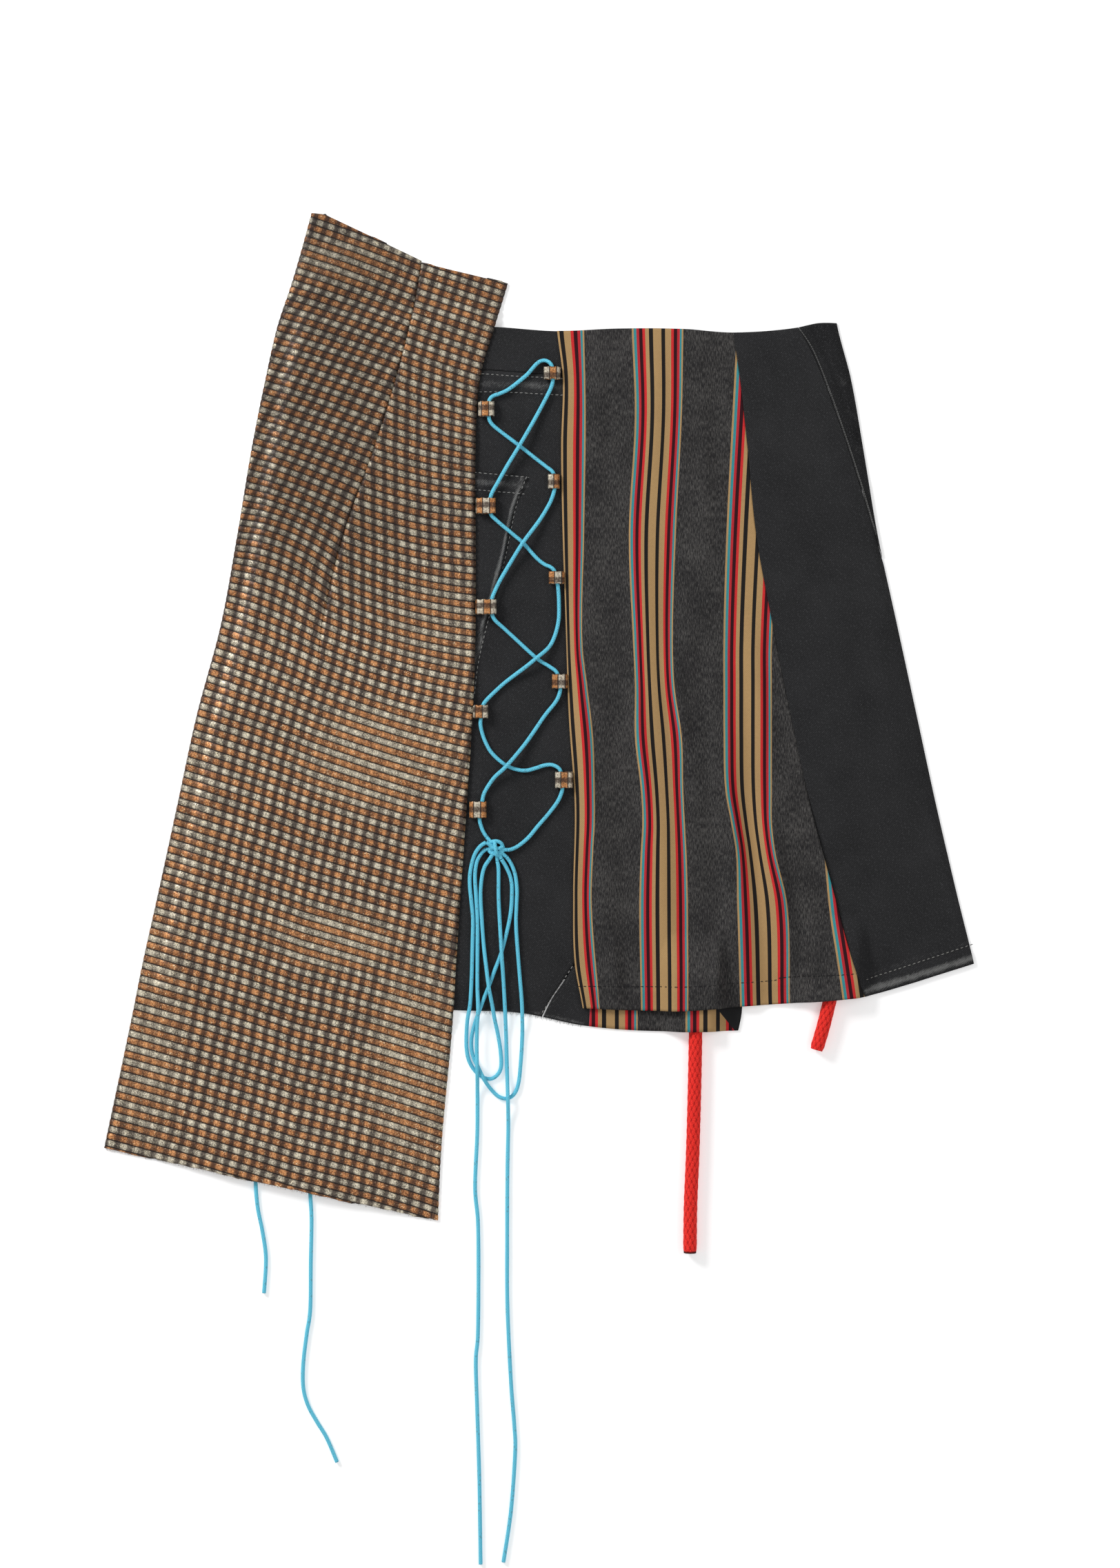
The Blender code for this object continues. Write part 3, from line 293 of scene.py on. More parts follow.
TAIL_RIGHT = (
    (-28.4, -97.3, 4.6), (-27.7, -103, 4.3), (-27.7, -120.5, 4.2), (-26.8, -138.9, 5),
    (-25.7, -157.3, 7.6), (-24.5, -175.7, 5), (-23.6, -191.8, 4.2), (-23.1, -203.3, 3.2),
    (-22.7, -214.8, 1.5), (-22.2, -233.2, 1.4), (-21.8, -245.6, 3), (-21.5, -255.3, 5.1),
    (-21.3, -265, 3), (-21.3, -276.9, 1.4), (-21.8, -304.5, 1.4), (-22, -350.5, 1.4),
    (-21.8, -394.2, 1.4), (-19.5, -443.9, 1.4), (-17.2, -473.8, 1.4), (-16.7, -491.7, 1.4),
    (-19.5, -530.4, 1.4), (-24.5, -564.4, 1.4),
)
HEM_CORD_LEFT = (
    (-189.2, -283.8, 1.5), (-189.4, -299.9, 1.5), (-189.7, -311.4, 1.4), (-188.3, -328, 1.4),
    (-185.1, -344.1, 1.4), (-182.8, -362, 1.4), (-184.1, -385, 1.4),
)
HEM_CORD_MIDDLE = (
    (-153.3, -291.6, 2.6), (-153.3, -300, 2.5), (-153.3, -309, 1.8), (-153.3, -318.8, 1.4),
    (-152.4, -336.3, 1.4), (-152.9, -364.3, 1.4), (-153.3, -396.1, 1.4), (-155.6, -412.2, 1.4),
    (-157.9, -431.9, 1.4), (-157.9, -448, 1.4), (-154.7, -460, 1.4), (-148.7, -471, 1.4),
    (-142.3, -481.6, 1.4), (-135.4, -497.7, 1.4),
)
ROPE_MIDDLE = (
    (103.6, -184, 4.9), (103.4, -198.7, 4.9), (103.4, -212.5, 4.9), (102.7, -249.3, 4.9),
    (101.5, -292.1, 4.9), (100.1, -326.1, 4.9), (99.7, -357.9, 4.9),
)
ROPE_RIGHT = (
    (199.2, -165.6, 4.9), (197, -172.8, 4.9), (194.9, -181.2, 4.9), (192.6, -190.4, 4.9),
    (188.5, -207, 4.9), (183.9, -222.6, 4.9),
)

# The photo: 0.46 mm a pixel, with this pixel over the origin
PIXEL = 0.46
PHOTO_X = 783.3
PHOTO_Y = 1038.0
PHOTO_MIDDLE = (13.2, -45.6)
PHOTO_HEIGHT = 1046.0
LENS = 85.0
SENSOR = 36.0

# Yarns of the striped cotton, in colours as they are seen, 0 to 255
YARNS = {
    "tan": (168, 136, 93),
    "black": (30, 27, 26),
    "red": (196, 44, 46),
    "crimson": (178, 42, 50),
    "maroon": (50, 17, 24),
    "teal": (54, 136, 144),
}
# Band of stripes, left to right: width and yarn of each. Plain cloth fills the rest of a repeat
STRIPES = (
    (1.3, "tan"), (1.7, "teal"), (1.9, "crimson"), (2.4, "maroon"), (1.7, "red"), (2.7, "tan"),
    (2.8, "black"), (5.8, "tan"), (2.7, "black"), (4.2, "tan"), (1.8, "red"), (2.3, "maroon"),
    (1.8, "crimson"), (1.4, "teal"), (1.2, "tan"),
)
STRIPE_REPEAT = 67.2

# Where the bands lie: for each height, x of the edges of the bands, left to right. The first and
# last run past the panel. Each edge is so far along the cloth, counted in repeats.
BAND_EDGES = (0.527, 1.0, 1.527, 2.0, 2.527, 3.0)
BAND_NAMES = (
    "height", "one_right", "two_left", "two_right", "three_left", "three_right", "four_left"
)
BANDS = (
    (256, 29, 61, 95, 131, 167, 199),
    (200, 30, 63, 94, 128, 163, 197),
    (120, 29, 59, 90, 124, 158, 191),
    (45, 28, 62, 88, 122, 154, 187),
    (20, 31, 63, 89, 122, 154, 186),
    (-15, 35, 63, 94, 122, 154, 186),
    (-50, 36, 67, 95, 123, 154, 187),
    (-72, 36, 68, 96, 127, 154, 188),
    (-90, 35, 67, 97, 130, 156, 189),
    (-125, 34, 66, 98, 131, 164, 192),
    (-190, 39, 67, 98, 133, 166, 201),
)
# The lower layer's black end, right of a slanting line: a point of it, its lean, and the width
# over which its mark rises
TURNED_AT = (120.0, -198.0)
TURNED_LEAN = 0.8
TURNED_RISE = 20.0
# Width of cloth between the panel's left edge and the first of those edges, which follows it
EDGE_BAND = 16.2
# The same for the layer below: x of the edge where its plain stretch ends, and the rest evenly
UNDER_BAND_X = 96.5

# Columns of the check: their spacing in the head and at the hem, the ribs between which it
# grows, and how many columns the left edge cuts off down to the end of the dart
COLUMN_PITCHES = (7.4, 7.95)
COLUMN_RIBS = (60.0, 145.0)
COLUMNS_CUT = 6.5
DART_RIBS = (52.0, 68.0)

# Places where the dark cells of the check are painted pale, partly foil that covers them and partly
# painted sheen where the foil shines: x, y, half width, half height, strength
FOIL_AND_SHEEN_PLACES = (
    (-107, -28, 60, 42, 0.7),
    (-138, -148, 48, 26, 0.65),
    (-86, -236, 34, 80, 0.75),
    (-128, 302, 38, 18, 0.6),
    (-262, -200, 30, 110, 0.55),
    (-236, -60, 26, 70, 0.3),
    (-70, 60, 34, 46, 0.3),
)
# Shares of that size between which this pale paint ends
FOIL_AND_SHEEN_EDGE = (0.4, 1.15)

# The foil is dimmer up the panel, from one height to another, and most so on its left
DIM_UP = (20.0, 150.0)
DIM_ACROSS = (-130.0, -70.0)

# Small creases of each cloth: x and y of both ends of the ridge, half its width, its rise
CHECK_CREASES = (
    (-172, 262, -128, 300, 14, 1.0),
    (-140, 296, -112, 318, 10, 0.8),
    (-205, 120, -150, 96, 15, 0.8),
    (-190, 40, -150, 20, 16, 0.9),
    (-120, 40, -56, 30, 16, 0.7),
    (-140, -10, -60, -48, 20, 1.2),
    (-220, -40, -150, -80, 20, 0.9),
    (-230, -150, -120, -180, 22, 0.9),
    (-175, -210, -80, -236, 22, 1.0),
    (-262, -230, -200, -262, 18, 0.8),
    (-60, 170, -50, 80, 10, 0.6),
)
JEANS_CREASES = (
    (-30, 190, -8, 120, 6, 0.30),
    (6, 120, 4, 20, 6, 0.30),
    (-40, -40, -22, -130, 8, 0.35),
    (14, -20, 4, -120, 8, 0.30),
)
STRIPE_CREASES = (
    (22, 50, 36, -90, 9, 2.8),
    (58, 40, 72, -60, 9, 2.6),
    (86, 50, 97, -30, 9, 3.0),
    (118, -30, 133, -104, 9, 3.2),
    (152, -75, 165, -140, 9, 2.8),
    (40, 250, 36, 160, 10, 1.2),
    (78, 250, 74, 150, 11, 1.4),
    (108, 240, 112, 120, 10, 1.3),
    (140, 60, 150, -30, 10, 1.9),
    (180, -60, 205, -150, 12, 2.0),
    (48, -150, 52, -190, 8, 1.9),
    (120, -140, 116, -190, 8, 2.0),
)
SIDE_CREASES = (
    (150, 250, 158, 180, 10, 0.9),
    (186, 90, 214, -10, 14, 1.3),
    (222, 60, 244, -40, 12, 1.0),
    (224, -70, 262, -150, 16, 1.3),
    (250, -40, 284, -120, 12, 0.9),
)


def seen(x, y):
    """Millimetres across and along for a pixel of the photo."""
    return ((x - PHOTO_X) * PIXEL, (PHOTO_Y - y) * PIXEL)


def column(table, names, name):
    """The values of one named column."""
    place = names.index(name)
    return [row[place] for row in table]


def smooth_through(keys, values):
    """A smooth function of arrays through the values at rising or falling keys."""
    order = np.argsort(keys)
    xs = np.array(keys, float)[order]
    ys = np.array(values, float)[order]
    steps = np.diff(ys) / np.diff(xs)
    slopes = np.concatenate((steps[:1], (steps[:-1] + steps[1:]) / 2, steps[-1:]))

    def value(x):
        x = np.asarray(x, float)
        i = np.clip(np.searchsorted(xs, x, side="right") - 1, 0, len(xs) - 2)
        span = xs[i + 1] - xs[i]
        t = np.clip((x - xs[i]) / span, 0.0, 1.0)
        start = ys[i] * (1 + 2 * t) * (1 - t) ** 2 + slopes[i] * span * t * (1 - t) ** 2
        end = ys[i + 1] * t * t * (3 - 2 * t) + slopes[i + 1] * span * t * t * (t - 1)
        before = np.minimum(x - xs[0], 0.0) * slopes[0]
        after = np.maximum(x - xs[-1], 0.0) * slopes[-1]
        return start + end + before + after

    return value


def line(points):
    return smooth_through([key for key, _ in points], [value for _, value in points])


def section_line(name):
    heights = column(SECTIONS, SECTION_NAMES, "height")
    return smooth_through(heights, column(SECTIONS, SECTION_NAMES, name))


def rib_heights(seam):
    """The height at which each rib meets a seam, from its spacing there."""
    _, head, head_pitch, foot_pitch, change = next(row for row in RIB_SEAMS if row[0] == seam)
    return lambda rib: (
        head - head_pitch * np.minimum(rib, change) - foot_pitch * np.maximum(rib - change, 0.0)
    )


def bow_of_rib(bow, rib):
    rise, middle, reach = bow
    return rise * np.exp(-(((rib - middle) / reach) ** 2))


def smooth_step(value, start, end):
    """0 at start, 1 at end, with level ends."""
    t = np.clip((value - start) / (end - start), 0.0, 1.0)
    return t * t * (3 - 2 * t)


check_left = section_line("check_left")
spine = section_line("spine")
check_right = section_line("check_right")
stripe_left = section_line("stripe_left")
side_seam = section_line("side_seam")
right_edge = section_line("right_edge")
rib_at_left = rib_heights("left")
rib_at_dart = rib_heights("dart")
rib_at_right = rib_heights("right")
waist = line(WAIST)
under_hem = line(UNDER_HEM)
front_hem = line(FRONT_HEM)
back_hem = line(BACK_HEM)
strap_seam = line(STRAP_SEAM)
under_right = line(UNDER_RIGHT)
under_join = line(UNDER_JOIN)
gusset_seam = line(GUSSET_SEAM)
pocket_right = line(POCKET_RIGHT)
pocket_left = line(POCKET_LEFT)
pocket_top = line(POCKET_TOP)
pocket_foot = line(POCKET_FOOT)


def hidden_left(y):
    return check_left(y) + HIDDEN_STEP


def rope_lift(x, y, spread):
    """Rise of the cloth over a rope's root, spread wider for a layer above."""
    rise = np.zeros_like(x)
    for rope_x, rope_y in ROPE_LIFTS:
        beside = 1 - smooth_step(np.abs(x - rope_x) - spread, ROPE_RIDGE, ROPE_FOOT)
        along = 1 - smooth_step(y - rope_y, *ROPE_RUN)
        rise = np.maximum(rise, (ROPE + GAP + SEAT) * beside * along)
    return rise


def on_back(x, y, spread=0.0):
    end, start = BACK_STEP
    rest = BACK_TOP * smooth_step(y - back_hem(x), -end, -start)
    return np.maximum(rest, rope_lift(x, y, spread))


def roll(value, edge):
    return smooth_step(np.abs(value - edge), 0.0, SIDE_ROLL)


def under_jeans(x, y):
    return on_back(x, y) * roll(x, hidden_left(y))


def fell_away(x, y):
    return np.abs(y - FELL_Y - FELL_SLOPE * x)


def fell(x, y):
    return 1 - smooth_step(fell_away(x, y), FELL_HALF, FELL_HALF + FELL_EDGE)


def wide_fell(x, y):
    start, end = FELL_SEAT
    return 1 - smooth_step(fell_away(x, y) - FELL_HALF, start, end)


def jeans_thick(x, y):
    return DENIM_THICK + FELL_RISE * fell(x, y)


def above_jeans(x, y):
    return under_jeans(x, y) + DENIM_THICK + GAP + FELL_RISE * wide_fell(x, y)


def folds(x, y):
    rise = np.zeros_like(x)
    for foot_x, foot_y, head_x, head_y, half_width, height in STRIPE_FOLDS:
        along = (y - foot_y) / (head_y - foot_y)
        middle = foot_x + (head_x - foot_x) * along
        beside = 1 - smooth_step(np.abs(x - middle), 0.0, half_width)
        ends = smooth_step(along, *FOLD_FOOT) * (1 - smooth_step(along, *FOLD_HEAD))
        rise += height * beside * ends
    return rise


def under_stripes(x, y):
    over = 1 - smooth_step(x - under_right(y), *STRIPE_DROP)
    low = on_back(x, y, ROPE_SPREAD)
    high = np.maximum(above_jeans(x, y), low + DENIM_THICK + GAP)
    return low + (high - low) * over + folds(x, y)


def stripes_thick(x, y):
    rise, start, end = STRIPE_HEM
    return STRIPE_THICK + rise * (1 - smooth_step(y - front_hem(x), start, end))


def under_side(x, y):
    return on_back(x, y, ROPE_SPREAD) * roll(x, right_edge(y))


def side_thick(x, y):
    rise, start, end = SIDE_HEM
    return DENIM_THICK + rise * (1 - smooth_step(y - front_hem(x), start, end))


def strap_thick(x, y):
    rise, start, end = STRAP_EDGE
    return DENIM_THICK + rise * (1 - smooth_step(x - strap_seam(y), start, end))


def check_seat(x, y):
    side = smooth_step(x - hidden_left(y), *SEAT_SIDE)
    top = 1 - smooth_step(y - waist(x), *SEAT_TOP)
    foot = smooth_step(y - under_hem(x), *SEAT_FOOT)
    return side * top * foot


def under_check(x, y):
    low_foot, low_head, high_head, high_foot = OVER_POCKET
    over_pocket = smooth_step(y, low_foot, low_head) * (1 - smooth_step(y, high_head, high_foot))
    over = POCKET_BASE + SEAT + FELL_RISE * wide_fell(x, y) + (POCKET_THICK + GAP) * over_pocket
    rise = over * check_seat(x, y)
    for middle_x, middle_y, half_across, half_along, height in CHECK_SWELLS:
        across = 1 - smooth_step(np.abs(x - middle_x), 0.0, half_across)
        along = 1 - smooth_step(np.abs(y - middle_y), 0.0, half_along)
        rise += height * across * along
    edge = HEM_LEFT[1] + (x - HEM_LEFT[0]) * HEM_FALL
    near_hem = 1 - smooth_step(y - edge, *CORD_LIFT_UP)
    return rise + CORD_LIFT * near_hem * (1 - smooth_step(np.abs(x - CORD_LIFT_X), *CORD_LIFT_SIDE))


def creases(table, x, y):
    """Soft ridges, each along its own line, strongest in its middle."""
    rise = np.zeros_like(x)
    for x1, y1, x2, y2, half_width, height in table:
        length = math.hypot(x2 - x1, y2 - y1)
        along = ((x - x1) * (x2 - x1) + (y - y1) * (y2 - y1)) / length**2
        beside = np.abs((x - x1) * (y2 - y1) - (y - y1) * (x2 - x1)) / length
        ends = smooth_step(along, -0.2, 0.35) * (1 - smooth_step(along, 0.65, 1.2))
        rise += height * ends * (1 - smooth_step(beside, 0.0, half_width))
    return rise


def wander(x, y, size, seed):
    """A soft uneven value from -1 to 1 over the cloth, of the given size in millimetres."""
    turn = random.Random(seed)
    total = np.zeros_like(x)
    for _ in range(WAVES):
        angle = turn.uniform(0, math.tau)
        length = size * turn.uniform(0.7, 1.6)
        along = (x * math.cos(angle) + y * math.sin(angle)) / length
        total += np.sin(math.tau * along + turn.uniform(0, math.tau))
    return total / WAVES


def uneven(waves, x, y):
    rise, size, seed = waves
    return rise * wander(x, y, size, seed)


def spread_between(left, right, top, foot):
    """Places between four edges: u runs from left to right, v from the top edge to the foot."""
    def place(u, v):
        x = np.zeros_like(u)
        y = np.zeros_like(u)
        for _ in range(NET_ROUNDS):
            y = top(x) * (1 - v) + foot(x) * v
            x = left(y) * (1 - u) + right(y) * u
        return x, y

    return place


def shifted(edge, step):
    return lambda key: edge(key) + step


def level(value):
    return lambda key: np.full_like(np.asarray(key, float), value)


# Rows of stitches, by pixel of the photo
STITCH_ROWS = {
    "jeans_stitches": (
        ((700, 543), (740, 546), (780, 548), (815, 550)),
        ((697, 569), (740, 570), (780, 572), (815, 574)),
        ((689, 686), (765, 693)),
        ((689, 711), (759, 717)),
        ((763, 694), (749, 733), (733, 808), (722, 850), (708, 900), (694, 960), (688, 1005)),
        ((829, 1403), (814, 1426), (799, 1449), (787, 1467)),
    ),
    "stripe_stitches": (
        (
            (841, 1430), (996, 1430), (1071, 1425), (1120, 1422), (1138, 1417), (1217, 1413),
            (1241, 1411),
        ),
    ),
    "side_stitches": (
        ((1256, 1420), (1304, 1404.5), (1346, 1390.5), (1408, 1370)),
    ),
    "strap_stitches": (
        ((1159, 478), (1178, 507), (1199, 557), (1216, 604), (1234, 657), (1251, 710), (1267, 764)),
    ),
}
# Pitch, length and width of a stitch
STITCH_SIZES = {
    "jeans_stitches": (3.4, 2.5, 0.7),
    "stripe_stitches": (3.2, 2.4, 0.6),
    "side_stitches": (3.3, 2.4, 0.7),
    "strap_stitches": (1.6, 1.9, 0.9),
}
# Worn seams: pixels along each, how far the wear reaches to its sides, and its strength
JEANS_WEAR = (
    (((700, 557), (760, 559), (815, 562)), 6.0, 0.45),
    (((689, 699), (762, 705)), 5.0, 0.45),
    (((757, 695), (743, 735), (727, 809), (715, 852), (701, 902), (690, 961)), 2.4, 0.8),
    (((660, 1464), (755, 1467), (802, 1474), (845, 1484)), 2.4, 0.45),
    (((834, 1402), (818, 1430), (803, 1452), (790, 1470)), 1.8, 0.3),
    (((690, 1100), (700, 1300), (690, 1440)), 9.0, 0.2),
)
SIDE_WEAR = (
    (((1256, 1436), (1318, 1418), (1413, 1388)), 4.5, 0.75),
    (((1262, 1412), (1413, 1364)), 3.0, 0.3),
    (((1290, 820), (1340, 1050), (1400, 1330)), 8.0, 0.2),
)
STRAP_WEAR = (
    (((1158, 476), (1197, 557), (1232, 657), (1270, 776)), 1.6, 0.5),
    (((1214, 545), (1224, 556)), 5.0, 0.28),
    (((1228, 596), (1240, 606)), 5.0, 0.28),
    (((1242, 650), (1252, 660)), 5.0, 0.24),
)
# Threads, in colours as they are seen, 0 to 255
THREADS = {
    "jeans_stitches": (128, 127, 125),
    "stripe_stitches": (30, 29, 30),
    "side_stitches": (120, 119, 116),
    "strap_stitches": (84, 84, 83),
}


def shade(red, green, blue):
    """A colour as it is seen, 0 to 255, as the shader takes it."""
    linear = []
    for part in (red, green, blue):
        part /= 255
        linear.append(part / 12.92 if part <= 0.04045 else ((part + 0.055) / 1.055) ** 2.4)
    return (*linear, 1.0)


class Value:
    """An output of a node, ready for arithmetic."""

    def __init__(self, finish, socket):
        self.finish = finish
        self.socket = socket

    def __add__(self, other):
        return self.finish.math("ADD", self, other)

    def __radd__(self, other):
        return self.finish.math("ADD", other, self)

    def __sub__(self, other):
        return self.finish.math("SUBTRACT", self, other)

    def __rsub__(self, other):
        return self.finish.math("SUBTRACT", other, self)

    def __mul__(self, other):
        return self.finish.math("MULTIPLY", self, other)

    def __rmul__(self, other):
        return self.finish.math("MULTIPLY", other, self)

    def floor(self):
        return self.finish.math("FLOOR", self)

    def fract(self):
        return self.finish.math("FRACT", self)

    def sine(self):
        return self.finish.math("SINE", self)

    def size(self):
        return self.finish.math("ABSOLUTE", self)


class Finish:
    """One material and the nodes that make it."""

    def __init__(self, name, constants):
        self.material = bpy.data.materials.new(name)
        self.material.use_nodes = True
        self.tree = self.material.node_tree
        self.shader = self.tree.nodes["Principled BSDF"]
        for socket, value in constants.items():
            self.shader.inputs[socket].default_value = value

    def feed(self, socket, value):
        if isinstance(value, Value):
            self.tree.links.new(value.socket, socket)
        else:
            socket.default_value = value

    def node(self, kind, settings, inputs):
        made = self.tree.nodes.new(kind)
        for setting, value in settings.items():
            setattr(made, setting, value)
        for key, value in inputs.items():
            self.feed(made.inputs[key], value)
        return made

    def out(self, made, key=0):
        return Value(self, made.outputs[key])

    def math(self, operation, *values):
        settings = {"operation": operation}
        return self.out(self.node("ShaderNodeMath", settings, dict(enumerate(values))))

    def step(self, value, start, end):
        """0 at start, 1 at end, with level ends."""
        inputs = {"Value": value, "From Min": start, "From Max": end}
        settings = {"interpolation_type": "SMOOTHSTEP"}
        return self.out(self.node("ShaderNodeMapRange", settings, inputs))

    def mix(self, factor, one, other):
        inputs = {0: factor, 6: one, 7: other}
        return self.out(self.node("ShaderNodeMix", {"data_type": "RGBA"}, inputs), 2)

    def tint(self, colour, amount):
        """The colour times a value, for light and dark yarns."""
        colour = colour if isinstance(colour, Value) else colour[:3]
        inputs = {0: colour, "Scale": amount}
        return self.out(self.node("ShaderNodeVectorMath", {"operation": "SCALE"}, inputs))

    def noise(self, where, scale, detail=2.0, roughness=0.5):
        inputs = {"Vector": where, "Scale": scale, "Detail": detail, "Roughness": roughness}
        return self.out(self.node("ShaderNodeTexNoise", {}, inputs))

    def chance(self, where):
        """A fixed random value for each whole place."""
        inputs = {"Vector": where}
        return self.out(self.node("ShaderNodeTexWhiteNoise", {"noise_dimensions": "3D"}, inputs))

    def point(self, x, y, z=0.0):
        return self.out(self.node("ShaderNodeCombineXYZ", {}, {0: x, 1: y, 2: z}))

    def parts(self, vector):
        made = self.node("ShaderNodeSeparateXYZ", {}, {0: vector})
        return [self.out(made, i) for i in range(3)]

    def weave(self):
        """Across and along, from the piece's own map."""
        made = self.node("ShaderNodeUVMap", {"uv_map": "weave"}, {})
        return self.parts(self.out(made))[:2]

    def place(self):
        """Object coordinates in millimetres."""
        made = self.node("ShaderNodeTexCoord", {}, {})
        whole = self.node(
            "ShaderNodeVectorMath", {"operation": "SCALE"},
            {0: self.out(made, "Object"), "Scale": 1 / MM},
        )
        return self.out(whole)

    def mark(self, name):
        made = self.node("ShaderNodeAttribute", {"attribute_name": name}, {})
        return self.out(made, "Fac")

    def bump(self, height, distance, strength=1.0):
        inputs = {"Height": height, "Distance": distance, "Strength": strength}
        self.feed(self.shader.inputs["Normal"], self.out(self.node("ShaderNodeBump", {}, inputs)))

    def colour(self, value):
        self.feed(self.shader.inputs["Base Color"], value)


def foil_on(finish, spot, cell):
    """Crackled foil: how bright it glints, from flakes, fine grain and a change from cell to cell."""
    flake = finish.noise(spot, 1.0, 2.0, 0.65)
    fine = finish.noise(spot, 2.3, 1.0)
    return flake, fine, finish.step(flake * 0.55 + fine * 0.45 + cell * 0.10, 0.42, 0.70)


def painted_glints_on(finish, spot, colour, amount):
    """Painted glints: tiny pale gold highlights of the foil, where amount lets them show."""
    grain = finish.noise(spot, 1.55, 1.0) * 0.6 + finish.noise(spot, 0.5, 1.0) * 0.4
    glint = finish.step(grain, 0.58, 0.70)
    return finish.mix(glint * amount, colour, shade(255, 240, 200))


def foil_check_finish():
    """Ribbed cloth with a crackled foil check: silver rows and copper rows by turns."""
    finish = Finish("foil_check", {"Metallic": 0.25, "Specular IOR Level": 0.3})
    across, along = finish.weave()
    spot = finish.place()
    row = along.floor()
    in_row = along.fract()
    wobble = finish.noise(spot, 0.42, 2.0) - 0.5
    start = finish.chance(finish.point(row, 7.3)) * 0.14 - 0.07
    column = across + start + wobble * 0.16
    cell = finish.chance(finish.point((column * 2.0).floor(), row))
    beside = ((column.fract() - 0.5).size() - 0.25) * 2.0
    middle = 1.0 - (in_row - 0.5).size() * 1.5
    pale = finish.step(beside + middle * 0.10, -0.22, 0.34)
    copper = 1.0 - finish.math("MODULO", row + 1.0, 2.0)
    # Dark cells painted pale where marked: foil over them, and painted sheen where the foil shines
    pale = finish.math("MAXIMUM", pale, finish.mark("foil_and_sheen") * 0.85)
    flake, fine, bright = foil_on(finish, spot, cell)
    silver = finish.mix(bright, shade(108, 99, 86), shade(238, 228, 204))
    silver_dark = finish.mix(bright, shade(54, 48, 44), shade(110, 100, 90))
    copper_pale = finish.mix(bright, shade(112, 68, 40), shade(232, 164, 106))
    copper_dark = finish.mix(bright, shade(58, 39, 30), shade(106, 70, 48))
    light = finish.mix(copper, silver, copper_pale)
    dark = finish.mix(copper, silver_dark, copper_dark)
    colour = finish.mix(pale, dark, light)
    # Painted shade: each rib's flanks, towards its grooves, are darkened to brown
    colour = finish.mix(finish.step(middle, 0.75, 0.40) * 0.35, colour, shade(60, 40, 28))
    # Painted glints of the foil, most on the pale cells
    colour = painted_glints_on(finish, spot, colour, 0.22 + pale * 0.55)
    # Each groove between ribs painted near-black: painted shade of the pleat's edge over a thin dark
    # thread line, with the dart's painted shade added
    groove = finish.step((in_row - 0.5).size() + wobble * 0.05, 0.385, 0.445)
    groove = finish.math("MAXIMUM", groove * 0.95, finish.mark("shaded"))
    colour = finish.mix(groove, colour, shade(20, 16, 18))
    finish.colour(finish.tint(colour, 1.04 - finish.mark("dim") * 0.42))
    finish.feed(finish.shader.inputs["Roughness"], 0.60 - 0.20 * bright)
    finish.bump(flake * 0.35 + fine * 0.15, 0.0005, 0.6)
    return finish.material


def loop_check_finish(name, first_copper):
    """The same foil on the folded loops, whose rows run across the band."""
    finish = Finish(name, {"Metallic": 0.25, "Roughness": 0.46, "Specular IOR Level": 0.3})
    across, along = finish.weave()
    spot = finish.place()
    row = (along + (1.0 if first_copper else 0.0)).floor()
    copper = finish.math("MODULO", row, 2.0)
    pale = finish.step((across.fract() - 0.5).size(), 0.36, 0.16)
    flake, fine, bright = foil_on(finish, spot, pale)
    silver = finish.mix(bright, shade(96, 86, 76), shade(214, 204, 184))
    copper_pale = finish.mix(bright, shade(92, 56, 34), shade(204, 140, 84))
    colour = finish.mix(copper, silver, copper_pale)
    colour = finish.mix((1.0 - pale) * 0.6, colour, shade(58, 42, 34))
    colour = painted_glints_on(finish, spot, colour, 0.2 + pale * 0.45)
    # Each groove between ribs painted dark: painted shade of the pleat's edge over a thin dark thread
    # line
    groove = finish.step((along.fract() - 0.5).size(), 0.37, 0.46)
    finish.colour(finish.mix(groove * 0.85, colour, shade(30, 25, 24)))
    finish.bump(flake * 0.4 + fine * 0.2, 0.0004, 0.6)
    return finish.material


def denim_finish():
    """Black jeans denim: a faint twill, light flecks, and grey wear where it is marked."""
    finish = Finish("black_denim", {"Roughness": 0.95, "Specular IOR Level": 0.08, "Sheen Weight": 0.03})
    spot = finish.place()
    x, y, _ = finish.parts(spot)
    twill = ((x - y) * (math.tau / 1.5) + finish.noise(spot, 0.3, 1.0) * 3.0).sine() * 0.5 + 0.5
    streak = finish.noise(finish.point(x * 1.6, y * 0.35), 1.0, 3.0, 0.75)
    flecks = finish.noise(finish.point((x - y) * 1.1, (x + y) * 0.5), 1.0, 2.0, 0.7)
    fleck = finish.step(flecks, 0.52, 0.72)
    cloud = finish.noise(spot, 0.03, 4.0, 0.6)
    tone = 0.08 + twill * 0.18 + streak * 0.95 + cloud * 0.8
    colour = finish.tint(shade(39, 39, 40), tone - finish.mark("deep") * 0.3)
    colour = finish.mix(fleck * 0.5, colour, shade(78, 78, 80))
    worn = finish.mark("worn")
    grain = finish.noise(finish.point((x + y) * 0.3, (x - y) * 1.5), 1.0, 2.0, 0.6)
    patch = finish.noise(spot, 0.13, 2.0)
    pale = finish.step(worn * 1.05 + grain * 1.0 + patch * 0.55 + twill * 0.1, 1.05, 1.75)
    finish.colour(finish.mix(pale * 0.7, colour, shade(122, 122, 121)))
    finish.bump(twill * 0.5 + streak * 0.5, 0.0004, 0.6)
    return finish.material


